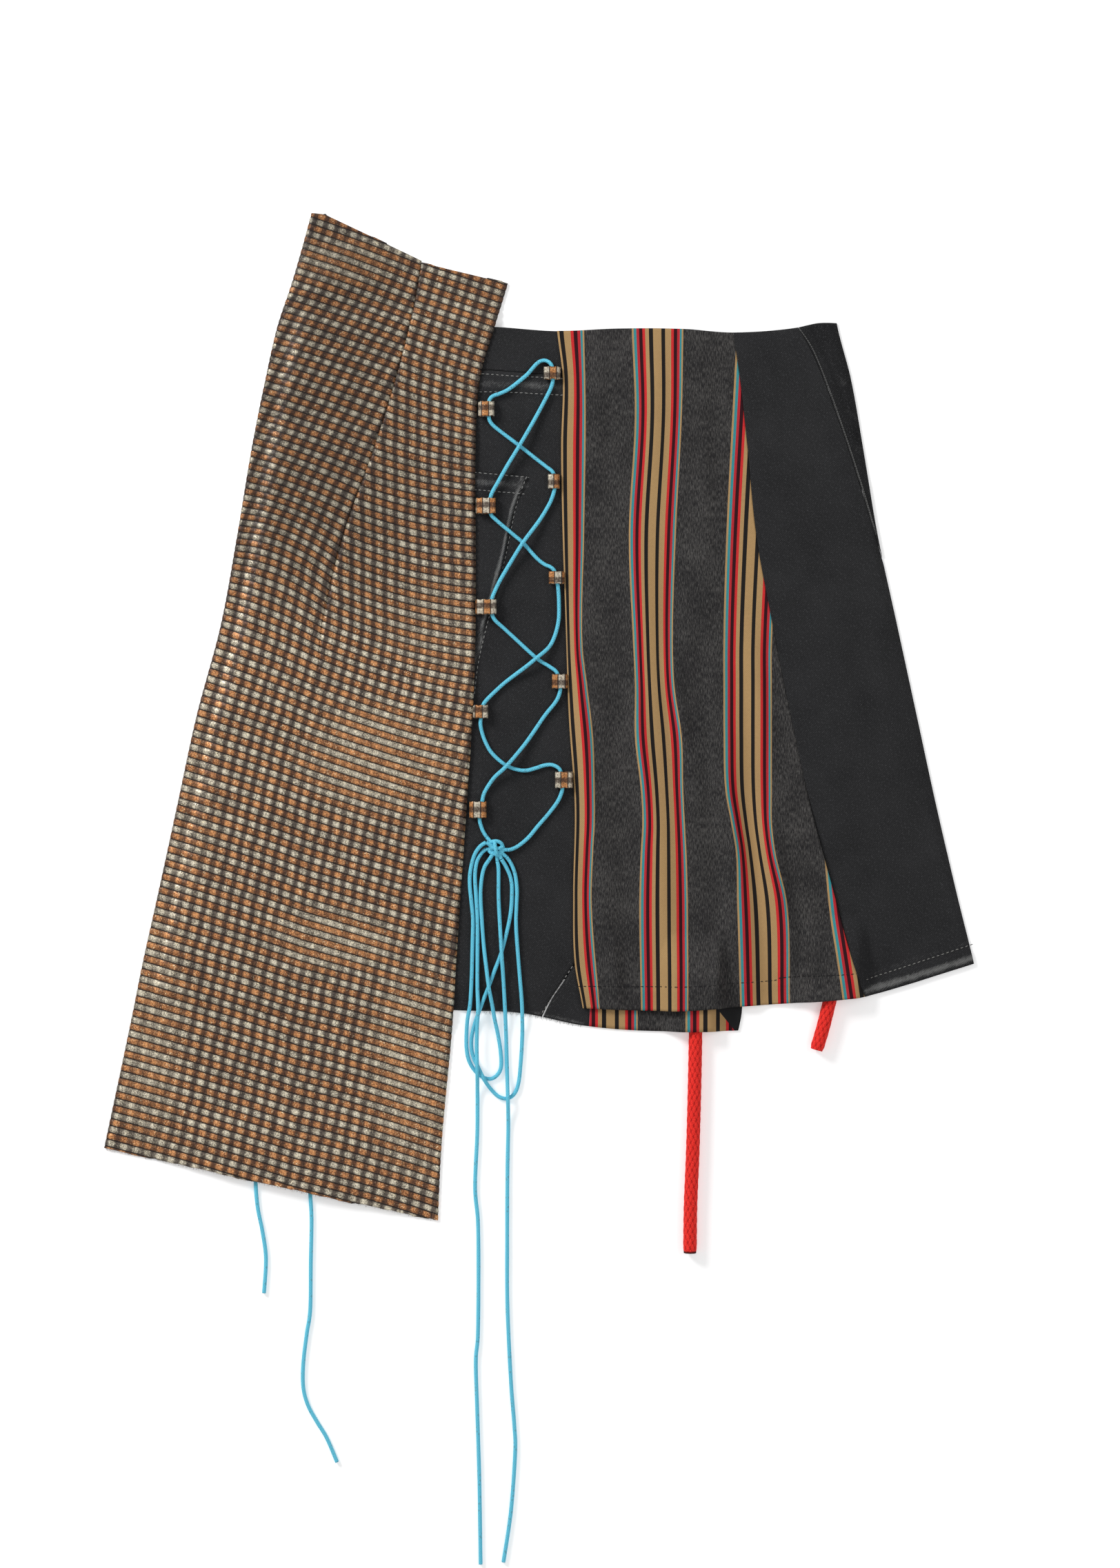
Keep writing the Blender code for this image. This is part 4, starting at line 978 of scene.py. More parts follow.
def striped_finish():
    """Striped cotton twill between plain stretches of charcoal."""
    finish = Finish("striped_cotton", {"Roughness": 0.9, "Specular IOR Level": 0.15})
    across, along = finish.weave()
    spot = finish.place()
    x, y, _ = finish.parts(spot)
    ramp = finish.node("ShaderNodeValToRGB", {}, {0: across.fract()})
    stops = ramp.color_ramp.elements
    ramp.color_ramp.interpolation = "CONSTANT"
    edge = 0.0
    for place, (width, yarn) in enumerate(STRIPES):
        stop = stops[0] if place == 0 else stops.new(edge / STRIPE_REPEAT)
        stop.position = edge / STRIPE_REPEAT
        stop.color = shade(*YARNS[yarn])
        edge += width
    plain = stops[-1]
    plain.position = 1.0
    plain.color = (0.0, 0.0, 0.0, 1.0)
    in_band = finish.math("LESS_THAN", across.fract(), edge / STRIPE_REPEAT)
    fleck = finish.noise(finish.point(x * 1.7, y * 0.28), 1.0, 3.0, 0.75)
    cloud = finish.noise(spot, 0.05, 3.0)
    light = finish.step(fleck + cloud * 0.2, 0.50, 0.82)
    melange = finish.mix(light, shade(35, 34, 35), shade(86, 84, 82))
    colour = finish.mix(in_band, melange, finish.out(ramp))
    twill = ((x + y) * (math.tau / 1.3)).sine() * 0.5 + 0.5
    tone = 0.78 + twill * 0.16 + finish.noise(spot, 0.9, 2.0) * 0.24
    colour = finish.mix(finish.step(finish.mark("turned"), 0.49, 0.51), colour, shade(34, 34, 35))
    finish.colour(finish.tint(colour, tone))
    finish.bump(twill * 0.4 + fleck * 0.6, 0.0004, 0.5)
    return finish.material


def lace_finish():
    """Pale blue braided lace with small grey flecks and painted shade between its strands."""
    finish = Finish("blue_lace", {"Roughness": 0.6, "Specular IOR Level": 0.25})
    around, along = finish.weave()
    spot = finish.place()
    one = around * 6.0 + along * 0.55
    other = along * 0.55 - around * 6.0
    braid = (one.fract() - 0.5).size() + (other.fract() - 0.5).size()
    grain = finish.noise(spot, 1.2, 2.0)
    colour = finish.mix(grain, shade(84, 190, 220), shade(118, 212, 236))
    # Painted shade in the hollows between the braid's strands
    seam = finish.step(braid, 0.62, 0.86)
    colour = finish.mix(seam * 0.35, colour, shade(50, 148, 180))
    fleck = finish.chance(finish.point(one.floor(), other.floor()))
    finish.colour(finish.mix(finish.step(fleck, 0.955, 0.97) * 0.45, colour, shade(96, 122, 132)))
    finish.bump(1.0 - braid, 0.0005, 0.8)
    return finish.material


def rope_finish():
    """Bright red braided rope with a fibrous sheen and painted shade in the dips of its braid."""
    finish = Finish("red_rope", {"Roughness": 0.7, "Specular IOR Level": 0.12})
    around, along = finish.weave()
    spot = finish.place()
    fibre = finish.noise(finish.point(around * 60.0, along * 1.4), 1.0, 2.0, 0.6)
    # Painted shade where a strand dips under the next
    low = finish.mark("low")
    colour = finish.mix(finish.step(fibre, 0.3, 0.7), shade(212, 30, 26), shade(250, 62, 52))
    colour = finish.mix(low * 0.8, colour, shade(132, 10, 12))
    burnt = finish.step(finish.mark("burnt") + finish.noise(spot, 0.5, 2.0) * 0.4, 0.7, 1.1)
    finish.colour(finish.mix(burnt, colour, shade(60, 16, 14)))
    finish.bump(fibre, 0.0004, 0.6)
    return finish.material


def thread_finish(name, colour):
    finish = Finish(name, {"Roughness": 0.75, "Specular IOR Level": 0.2})
    grain = finish.noise(finish.place(), 1.6, 2.0)
    finish.colour(finish.tint(shade(*colour), 0.7 + grain * 0.6))
    finish.bump(grain, 0.0002, 0.5)
    return finish.material


def floor_finish():
    finish = Finish("pale_table", {"Roughness": 0.9, "Specular IOR Level": 0.1})
    grain = finish.noise(finish.place(), 0.004, 2.0)
    finish.colour(finish.mix(grain, (0.90, 0.90, 0.90, 1.0), (0.93, 0.93, 0.93, 1.0)))
    finish.shader.inputs["Emission Color"].default_value = (1.0, 1.0, 1.0, 1.0)
    finish.shader.inputs["Emission Strength"].default_value = FLOOR_GLOW
    return finish.material


def finished(name, mesh, finish, smooth=True):
    """The mesh as a piece of the scene that rides with the skirt."""
    data = bpy.data.meshes.new(name)
    mesh.to_mesh(data)
    mesh.free()
    data.materials.append(finish)
    if smooth:
        data.shade_smooth()
    piece = bpy.data.objects.new(name, data)
    bpy.context.scene.collection.objects.link(piece)
    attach(piece, "root")
    return piece


def move_points(mesh, points):
    for vertex, point in zip(mesh.verts, points):
        vertex.co = point


def map_weave(mesh, values):
    """Write the weave's own map, the same for every face round a point."""
    layer = mesh.loops.layers.uv.new("weave")
    for face in mesh.faces:
        for corner in face.loops:
            corner[layer].uv = values[corner.vert.index]


def mark_points(mesh, name, values):
    layer = mesh.verts.layers.float.new(name)
    for vertex, value in zip(mesh.verts, values):
        vertex[layer] = value


def flat_grid(across, down):
    """A grid with its places: 0 to 1 from the left, and 0 to 1 from the top."""
    mesh = bmesh.new()
    bmesh.ops.create_grid(mesh, x_segments=across, y_segments=down, size=1.0)
    mesh.verts.index_update()
    flat = np.array([vertex.co for vertex in mesh.verts])
    return mesh, (flat[:, 0] + 1) / 2, (1 - flat[:, 1]) / 2


def stiffen(piece, thick):
    """Give the sheet its thickness, downwards from its face."""
    shell = piece.modifiers.new("thickness", "SOLIDIFY")
    shell.thickness = thick * MM
    shell.offset = -1.0
    return piece


def lay_cloth(name, place, counts, top, thick, finish, slot, weave=None, marks=None):
    """A panel of cloth: a grid moved to its place between its edges, then given its thickness."""
    mesh, u, v = flat_grid(*counts)
    x, y = place(u, v)
    z = top(x, y)
    move_points(mesh, np.stack((x, y, z), axis=1) * MM)
    values = np.stack(weave(x, y) if weave else (x, y), axis=1)
    map_weave(mesh, values)
    for mark, value in (marks or {}).items():
        mark_points(mesh, mark, value(x, y))
    return stiffen(finished(name, mesh, finish), thick)


def flat_size(place, counts=(40, 80)):
    """Widest row, length down the middle and area of a cut from its edges, in metres."""
    mesh, u, v = flat_grid(*counts)
    x, y = place(u, v)
    move_points(mesh, np.stack((x, y, np.zeros_like(x)), axis=1) * MM)
    area = sum(face.calc_area() for face in mesh.faces)
    mesh.free()
    rows = np.rint(v * counts[1]).astype(int)
    width = max(np.ptp(x[rows == row]) for row in range(counts[1] + 1))
    ends = place(np.array([0.5, 0.5]), np.array([0.0, 1.0]))
    length = math.hypot(np.diff(ends[0])[0], np.diff(ends[1])[0])
    return (width * MM, length * MM), area


def near(rows, x, y):
    """How worn the cloth is beside each worn seam: rows of points, reach and strength."""
    worn = np.zeros_like(x)
    for points, reach, strength in rows:
        places = [seen(*point) for point in points]
        for (x1, y1), (x2, y2) in zip(places, places[1:]):
            length = (x2 - x1) ** 2 + (y2 - y1) ** 2
            along = np.clip(((x - x1) * (x2 - x1) + (y - y1) * (y2 - y1)) / length, 0, 1)
            away = np.hypot(x - x1 - along * (x2 - x1), y - y1 - along * (y2 - y1))
            worn = np.maximum(worn, strength * (1 - smooth_step(away, 0.0, reach)))
    return worn


# Lace: spacing of its rings, sides of a ring, strands one way, their twist and their relief
LACE_STEP = 0.9
LACE_SIDES = 12
LACE_STRANDS = 6
LACE_TWIST = 3.4
LACE_BRAID = 0.03
# Rope: the same, with the pitch of its braid, how round a strand is, how far it dips under the
# next, by what share and how far from its end the rope closes, and how far it is burnt
ROPE_STEP = 0.5
ROPE_SIDES = 64
ROPE_STRANDS = 8
ROPE_PITCH = 7.4
ROPE_BRAID = 0.10
STRAND_ROUND = 0.92
STRAND_DIP = 0.28
ROPE_CLOSED = (0.10, 3.5)
ROPE_BURNT = 4.0
# Heights of a strand between which the painted shade of a dip fades
ROPE_DARK = (0.35, 0.75)


def smooth_route(points, spacing):
    """Evenly spaced points on a smooth curve through the route's own points."""
    route = np.array([points[0], *points, points[-1]], float)
    fine = []
    for a, b, c, d in zip(route, route[1:], route[2:], route[3:]):
        for t in np.arange(CURVE_STEPS) / CURVE_STEPS:
            fine.append(
                0.5 * (2 * b + (c - a) * t + (2 * a - 5 * b + 4 * c - d) * t * t
                       + (3 * b - a - 3 * c + d) * t**3)
            )
    fine.append(route[-1])
    fine = np.array(fine)
    walked = np.concatenate(([0.0], np.cumsum(np.linalg.norm(np.diff(fine, axis=0), axis=1))))
    even = np.linspace(0, walked[-1], max(2, round(walked[-1] / spacing)) + 1)
    return np.stack([np.interp(even, walked, fine[:, i]) for i in range(3)], axis=1)


def tube(points, sides, radius, marks=None):
    """A closed tube along the points. radius takes the angle and the way along."""
    rings = len(points)
    mesh, u, v = flat_grid(sides, rings - 1)
    ring = np.rint(v * (rings - 1)).astype(int)
    ahead = np.gradient(points, axis=0)
    ahead /= np.linalg.norm(ahead, axis=1)[:, None]
    side = np.cross(ahead, (0.0, 0.0, 1.0))
    side /= np.linalg.norm(side, axis=1)[:, None]
    rise = np.cross(side, ahead)
    steps = np.linalg.norm(np.diff(points, axis=0), axis=1)
    walked = np.concatenate(([0.0], np.cumsum(steps)))
    angle = u * math.tau
    reach = radius(angle, walked[ring])
    out = np.cos(angle)[:, None] * side[ring] + np.sin(angle)[:, None] * rise[ring]
    move_points(mesh, (points[ring] + out * reach[:, None]) * MM)
    map_weave(mesh, np.stack((u, walked[ring]), axis=1))
    for mark, value in (marks or {}).items():
        mark_points(mesh, mark, value(angle, walked[ring]))
    bmesh.ops.remove_doubles(mesh, verts=mesh.verts, dist=1e-7)
    rims = [edge for edge in mesh.edges if edge.is_boundary]
    bmesh.ops.holes_fill(mesh, edges=rims, sides=0)
    bmesh.ops.recalc_face_normals(mesh, faces=mesh.faces)
    return mesh


def length_of(points):
    return np.linalg.norm(np.diff(points, axis=0), axis=1).sum()


def lace_radius(angle, way):
    """A soft braid, its strands running both ways round the lace."""
    one = np.sin(angle * LACE_STRANDS + way * LACE_TWIST)
    other = np.sin(angle * LACE_STRANDS - way * LACE_TWIST)
    return LACE / 2 * (1 - LACE_BRAID + LACE_BRAID * one * other)


def lay_lace(name, route, finish):
    """One length of lace, laid from where it leaves the skirt to its far end."""
    points = smooth_route(route, LACE_STEP)
    points[:, 2] = np.maximum(points[:, 2], LACE / 2)
    piece = finished(name + "_braid", tube(points, LACE_SIDES, lace_radius), finish)
    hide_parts(name)


def strand_height(angle, way):
    """Diamond braid of the rope: which strand lies on top, and how far across it we are."""
    turn = angle * ROPE_STRANDS / math.tau
    one = turn + way / ROPE_PITCH
    other = turn - way / ROPE_PITCH
    over = (np.floor(one) + np.floor(other)) % 2
    across_one = 2 * (one % 1) - 1
    across_other = 2 * (other % 1) - 1
    top_one = np.sqrt(np.maximum(0.0, 1 - STRAND_ROUND * across_one**2))
    top_other = np.sqrt(np.maximum(0.0, 1 - STRAND_ROUND * across_other**2))
    dip_one = STRAND_DIP * across_other**2
    dip_other = STRAND_DIP * across_one**2
    return np.where(over > 0.5, top_one - dip_one, top_other - dip_other)


def lay_rope(name, route, finish, burnt):
    """One length of rope with its braid, its cut end burnt where that is 1."""
    points = smooth_route(route, ROPE_STEP)
    points[:, 2] = np.maximum(points[:, 2], ROPE / 2)
    length = length_of(points)
    draw_in, closed_from = ROPE_CLOSED

    def radius(angle, way):
        close = 1 - draw_in * smooth_step(way, length - closed_from, length)
        return ROPE / 2 * (1 - ROPE_BRAID + ROPE_BRAID * strand_height(angle, way)) * close

    marks = {
        # low: painted shade where a strand dips under the next
        "low": lambda angle, way: 1 - smooth_step(strand_height(angle, way), *ROPE_DARK),
        "burnt": lambda angle, way: burnt * smooth_step(way, length - ROPE_BURNT, length),
    }
    piece = finished(name + "_braid", tube(points, ROPE_SIDES, radius, marks), finish)
    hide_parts(name)


# The knot: short runs of lace round each other, each by points given one by one. The first goes over the
# others, and the rest round them
KNOT_RUNS = (
    (
        (-29.6, -83.6, 4.2), (-30.2, -84.6, 7.6), (-29.6, -88.8, 9.0), (-28.8, -92.9, 7.7),
        (-28.6, -93.8, 4.4),
    ),
    (
        (-33.4, -85.2, 5.2), (-31.6, -83.9, 6.6), (-28.6, -83.7, 7.0), (-26.0, -85.0, 6.6),
        (-24.8, -87.8, 5.4), (-25.0, -90.6, 4.6),
    ),
    (
        (-34.0, -90.0, 4.8), (-32.2, -91.6, 5.8), (-29.0, -92.4, 6.4), (-26.2, -91.8, 6.2),
        (-24.6, -89.6, 5.2),
    ),
    ((-33.6, -86.6, 6.4), (-31.0, -88.2, 7.2), (-27.4, -88.4, 7.2), (-24.8, -87.4, 6.0)),
)
KNOT_PLACE = (-29.1, -88.6, 6.6)
KNOT_STEP = 0.6
# The ends of cord that run into the knot, and how far each goes on: shares of the way to its middle
KNOT_ENDS = (
    LACE_FIRST_HALF[-1], LACE_SECOND_HALF[-1], BOW_LOOP_SHORT[0], BOW_LOOP_SHORT[-1],
    BOW_LOOP_LONG[0], BOW_LOOP_LONG[-1], TAIL_LEFT[0], TAIL_RIGHT[0],
)
KNOT_SHARES = (0.02, 0.35, 0.75)


def run_into_knot(end):
    """A short run that carries on from the end of a cord to the middle of the knot."""
    start = Vector(end)
    way = Vector(KNOT_PLACE) - start
    return tuple(tuple(start + way * share) for share in KNOT_SHARES)


def joined(parts):
    """Several meshes as one."""
    whole = bmesh.new()
    holder = bpy.data.meshes.new("holder")
    for part in parts:
        part.to_mesh(holder)
        part.free()
        whole.from_mesh(holder)
    bpy.data.meshes.remove(holder)
    return whole


def tie_knot(finish):
    runs = KNOT_RUNS + tuple(run_into_knot(end) for end in KNOT_ENDS)
    whole = joined(tube(smooth_route(run, KNOT_STEP), LACE_SIDES, lace_radius) for run in runs)
    piece = finished("lace_knot_tied", whole, finish)
    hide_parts("lace_knot")
    return piece


# Columns across a loop's strip and the spacing of its rows, and where the check starts on it
LOOP_COLUMNS = 14
LOOP_STEP = 0.4
LOOP_CHECK = (0.2, 8.0)
# How near the height of its middle the loop's tip is looked for, and how far its ribs fade in there
TIP_NEAR = 1.5
TIP_FADE = 1.0
# How far the strip draws in between its ribs, and how far the ribs sink into it
LOOP_DRAW_IN = 0.04
LOOP_RIB_SINK = 0.15


def fold_loop(row, finish):
    """A folded band of the check round the lace: a strip bent along the band's own line.

    The line runs from the root along the cloth, up round the tip and back over the lace, by
    distance from the tip and height.
    """
    name, tip, root, middle, width, base = row
    side = 1.0 if root > tip else -1.0
    length = abs(root - tip)
    half = LOOP_WALL / 2
    top = 2 * LOOP_WALL + LOOP_SLOT
    line_points = (
        (length - 0.1, half), (length * 0.6, half), (3.4, half), (1.2, half + 0.5),
        (half, half + 1.8), (half, top - 1.9), (1.3, top - half - 0.25), (3.2, top - half),
        (length * 0.5, top - half), (length - 1.6, top - half - 0.4),
        (length - 0.5, LOOP_ROOT + 0.9), (length - 0.1, LOOP_ROOT - 0.1),
    )
    path = smooth_route([(away, 0.0, height) for away, height in line_points], LOOP_STEP)
    mesh, u, v = flat_grid(LOOP_COLUMNS, len(path) - 1)
    spot = np.rint((1 - v) * (len(path) - 1)).astype(int)
    ahead = np.gradient(path, axis=0)
    ahead /= np.linalg.norm(ahead, axis=1)[:, None]
    out = np.cross((0.0, 1.0, 0.0), ahead)
    steps = np.concatenate(([0.0], np.cumsum(np.linalg.norm(np.diff(path, axis=0), axis=1))))
    near_middle = np.abs(path[:, 2] - top / 2) <= TIP_NEAR
    turn = steps[np.argmin(np.where(near_middle, path[:, 0], np.inf))]
    ribs = (steps - turn) / LOOP_RIB
    lift = LOOP_RIB_RISE * np.sqrt(np.abs(np.sin(ribs * math.pi))) - LOOP_RIB_SINK
    lift *= smooth_step(steps, turn - TIP_FADE, turn + TIP_FADE)
    edge = np.abs(2 * u - 1)
    along = path[spot] - out[spot] * (half + lift[spot] * (1 - edge**8))[:, None]
    shrink = 1 - LOOP_DRAW_IN * (1 - np.cos(ribs[spot] * math.tau)) * edge**2
    x = tip + side * along[:, 0]
    y = middle + (u - 0.5) * width * shrink * side * -1
    z = base + along[:, 2]
    move_points(mesh, np.stack((x, y, z), axis=1) * MM)
    first_column, first_row = LOOP_CHECK
    weave = (u * width / COLUMN_PITCHES[0] + first_column, ribs[spot] + first_row)
    map_weave(mesh, np.stack(weave, axis=1))
    bmesh.ops.recalc_face_normals(mesh, faces=mesh.faces)
    upper = (base + 4) * MM
    if sum(face.normal.z for face in mesh.faces if face.calc_center_median().z > upper) < 0:
        bmesh.ops.reverse_faces(mesh, faces=mesh.faces)
    piece = stiffen(finished(name + "_band", mesh, finish), LOOP_WALL)
    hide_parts(name)


# The check: rows of its mesh to a rib, columns of each piece, and how much closer these lie
# near the sides
RIB_ROWS = 5
CHECK_COLUMNS = 26
CLOSER = 0.35
# How round its ribs are; how far the sides draw in between them and over what reach; how far
# the panel falls off along its sides; and how far the left ribs bow all down
RIB_ROUND = 0.55
SIDE_NOTCH = 0.3
NOTCH_LEVEL = 0.6
NOTCH_REACH = 3.0
SIDE_FALL = 0.9
FALL_REACH = 2.2
LEFT_SLACK = 0.8
# The dart: its groove and the lap of its right side, each with the distances over which it fades, how
# far the groove flattens a rib, and how dark its painted shade is
DART_GROOVE = 0.3
GROOVE_REACH = (0.2, 2.6)
GROOVE_FLAT = 0.4
GROOVE_DARK = 0.15
DART_LAP = 0.25
LAP_REACH = (3.0, 14.0)
# Uneven rise of each cloth: height, size and seed of its waves
CHECK_WAVES = ((0.22, 46, 3), (0.1, 14, 4))
JEANS_WAVES = (0.08, 22, 5)
POCKET_WAVES = (0.05, 20, 6)
STRIPE_WAVES = (0.25, 30, 8)
SIDE_WAVES = (0.25, 40, 9)
# The least height of the check's underside over the table
ABOVE_TABLE = 0.05
# How far the hem's points lie off the straight cut
HEM_SHAKE = 0.35
# Cuts across the panel, by pixel: the two sides of its head left of the dart, its head right
# of the dart, and its hem
HEAD_CORNER = ((451, 309.5), (471, 311.5))
HEAD_LEFT = ((471, 311.5), (624, 385))
HEAD_RIGHT = ((624, 385), (736, 411.5))
HEM_CUT = ((153.5, 1665), (628, 1768))


def closer_at_sides(share):
    return share * (1 - CLOSER) + CLOSER * share * share * (3 - 2 * share)


def column_of(rib, place, right_side):
    """The check's column at a share of the way along a rib, counted by its spacing.

    The right piece counts back from its right edge down to the end of the dart.
    """
    low, high = COLUMN_PITCHES
    pitch = low + (high - low) * smooth_step(rib, *COLUMN_RIBS)
    left_width = spine(rib_at_dart(rib)) - check_left(rib_at_left(rib))
    right_width = check_right(rib_at_right(rib)) - spine(rib_at_dart(rib))
    first = COLUMNS_CUT * smooth_step(rib, 0.0, DART_END)
    if not right_side:
        return first + place * left_width / pitch
    end = np.array(DART_END)
    whole = check_right(rib_at_right(end)) - check_left(rib_at_left(end))
    last = np.where(
        rib < DART_END, COLUMNS_CUT + whole / low, first + (left_width + right_width) / pitch
    )
    return last - (1 - place) * right_width / pitch


def rib_places(rib, share, right_side):
    """Places along each rib of the piece left or right of the dart, from seam to seam."""
    at_dart = rib_at_dart(rib)
    if right_side:
        at_dart = at_dart - DART_STEP * np.clip(1 - rib / DART_END, 0.0, 1.0)
        at_edge = rib_at_right(rib)
        bow = bow_of_rib(RIGHT_BOW, rib) + FOOT_BOW[0] * smooth_step(rib, *FOOT_BOW[1:])
        x = spine(at_dart) * (1 - share) + check_right(at_edge) * share
        y = at_dart * (1 - share) + at_edge * share
    else:
        at_edge = rib_at_left(rib)
        bow = LEFT_SLACK + bow_of_rib(LEFT_BOW, rib)
        x = check_left(at_edge) * (1 - share) + spine(at_dart) * share
        y = at_edge * (1 - share) + at_dart * share
    return x, y + 4 * bow * share * (1 - share)


def pale_foil_and_sheen(x, y):
    """How far the dark cells are painted pale, by foil over them and by painted sheen, most in the
    middle of each place.
    """
    foil_and_sheen = np.zeros_like(x)
    for middle_x, middle_y, half_width, half_height, strength in FOIL_AND_SHEEN_PLACES:
        away = np.hypot((x - middle_x) / half_width, (y - middle_y) / half_height)
        foil_and_sheen = np.maximum(foil_and_sheen, strength * (1 - smooth_step(away, *FOIL_AND_SHEEN_EDGE)))
    return foil_and_sheen


def piece_of_check(right_side):
    """The panel left or right of the dart, with the rise of its ribs, dart and creases."""
    mesh, u, v = flat_grid(CHECK_COLUMNS, RIBS * RIB_ROWS)
    rib = np.rint(v * RIBS * RIB_ROWS) / RIB_ROWS
    share = closer_at_sides(u)
    x, y = rib_places(rib, share, right_side)
    swell = np.abs(np.sin(rib * math.pi)) ** RIB_ROUND
    left = x - check_left(y)
    right = check_right(y) - x
    inward = np.minimum(left, right)
    notch = SIDE_NOTCH * (swell - NOTCH_LEVEL) * (1 - smooth_step(inward, 0.0, NOTCH_REACH))
    x = x + np.where(left < right, -notch, notch)
    sewn = 1 - smooth_step(rib, *DART_RIBS)
    from_dart = np.abs(x - spine(y))
    groove = sewn * (1 - smooth_step(from_dart, *GROOVE_REACH))
    z = under_check(x, y) + CHECK_THICK + RIB_HEIGHT * swell * (1 - GROOVE_FLAT * groove)
    z -= DART_GROOVE * groove + SIDE_FALL * (1 - smooth_step(inward, 0.0, FALL_REACH))
    if right_side:
        z += DART_LAP * sewn * (1 - smooth_step(from_dart, *LAP_REACH))
    z += creases(CHECK_CREASES, x, y) + sum(uneven(waves, x, y) for waves in CHECK_WAVES)
    z = np.maximum(z, CHECK_THICK + ABOVE_TABLE)
    move_points(mesh, np.stack((x, y, z), axis=1) * MM)
    mark_points(mesh, "foil_and_sheen", pale_foil_and_sheen(x, y))
    mark_points(mesh, "shaded", GROOVE_DARK * groove)
    mark_points(mesh, "dim", smooth_step(y, *DIM_UP) * (1 - 0.5 * smooth_step(x, *DIM_ACROSS)))
    map_weave(mesh, np.stack((column_of(rib, share, right_side), rib), axis=1))
    return mesh


def cut_off(mesh, line_of_cut, keep_below):
    """Cut the panel along a line given by two pixels of the photo; the points of the cut."""
    (x1, y1), (x2, y2) = (seen(*pixel) for pixel in line_of_cut)
    across = Vector((y1 - y2, x2 - x1, 0.0)).normalized()
    cut = bmesh.ops.bisect_plane(
        mesh, geom=mesh.verts[:] + mesh.edges[:] + mesh.faces[:],
        plane_co=Vector((x1, y1, 0.0)) * MM, plane_no=across if keep_below else -across,
        clear_outer=True,
    )
    return [v for v in cut["geom_cut"] if isinstance(v, bmesh.types.BMVert)]


def lay_check(finish):
    """The long ribbed panel in two pieces that meet in the dart, cut off at head and hem."""
    shake = random.Random(11)
    pieces = []
    for right_side, heads in ((False, (HEAD_CORNER, HEAD_LEFT)), (True, (HEAD_RIGHT,))):
        part = piece_of_check(right_side)
        for head in heads:
            cut_off(part, head, True)
        for vertex in cut_off(part, HEM_CUT, False):
            vertex.co += Vector((0.0, shake.uniform(-HEM_SHAKE, HEM_SHAKE) * MM, 0.0))
        pieces.append(part)
    whole = joined(pieces)
    bmesh.ops.remove_doubles(whole, verts=whole.verts, dist=1e-6)
    panel = stiffen(finished("check_panel_cloth", whole, finish), CHECK_THICK)
    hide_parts("check_panel")


def phase_of(x, y):
    """Repeats of the stripes counted across the panel, from where the bands lie."""
    heights = column(BANDS, BAND_NAMES, "height")
    edges = [smooth_through(heights, column(BANDS, BAND_NAMES, name))(y) for name in BAND_NAMES[1:]]
    margin = (edges[0] - stripe_left(y)) / EDGE_BAND
    phase = BAND_EDGES[0] + np.minimum(x - edges[0], 0) / margin / STRIPE_REPEAT
    for i in range(len(edges) - 1):
        share = np.clip((x - edges[i]) / (edges[i + 1] - edges[i]), 0, 1)
        phase = phase + share * (BAND_EDGES[i + 1] - BAND_EDGES[i])
    return phase + np.maximum(x - edges[-1], 0) / STRIPE_REPEAT


def stripe_weave(x, y):
    return phase_of(x, y), y


def turned_corner(x, y):
    """Over a half on the black end of the layer under the striped panel's hem."""
    past = x - TURNED_AT[0] + TURNED_LEAN * (y - TURNED_AT[1])
    return np.clip(0.5 + past / TURNED_RISE, 0.0, 1.0)


def under_stripe_weave(x, y):
    return 1 + (x - UNDER_BAND_X) / STRIPE_REPEAT, y


def row_places(points, pitch):
    """Places and turns along a row of stitches."""
    route = smooth_route([(*seen(*point), 0.0) for point in points], pitch)
    ahead = np.gradient(route, axis=0)
    return [(p[0], p[1], math.atan2(a[1], a[0])) for p, a in zip(route, ahead)]


# How far the stitches of a row differ in length and turn, how flat they are, and their lift
STITCH_LENGTHS = (0.85, 1.1)
STITCH_TURN = 0.12
STITCH_FLAT = 0.8
STITCH_LIFT = 0.1


def sew(name, heights, finish):
    """All the stitches of one thread, each a small pill along its row, half sunk in the cloth."""
    pitch, length, width = STITCH_SIZES[name]
    shake = random.Random(name)
    mesh = bmesh.new()
    for points in STITCH_ROWS[name]:
        for x, y, turn in row_places(points, pitch):
            z = float(heights(np.array([x]), np.array([y]))[0])
            half = length / 2 * shake.uniform(*STITCH_LENGTHS)
            size = Matrix.Diagonal((half, width / 2, width / 2 * STITCH_FLAT, 1.0))
            place = Matrix.Translation(Vector((x, y, z + STITCH_LIFT)))
            turned = Matrix.Rotation(turn + shake.uniform(-STITCH_TURN, STITCH_TURN), 4, "Z")
            bmesh.ops.create_uvsphere(
                mesh, u_segments=6, v_segments=4, radius=1.0,
                matrix=Matrix.Scale(MM, 4) @ place @ turned @ size,
            )
    finished(name, mesh, finish)


# Loose threads: spacing, lean to either side, depth under the cloth's face, least height over
# the table, how far they start inside the edge, and their radius at the root and the tip
FRAY_STEP = 1.0
FRAY_LEAN = 0.7
FRAY_DEPTHS = (0.3, 0.9)
FRAY_LOWEST = 0.2
FRAY_ROOT = 0.4
FRAY_RADII = (0.16, 0.05)


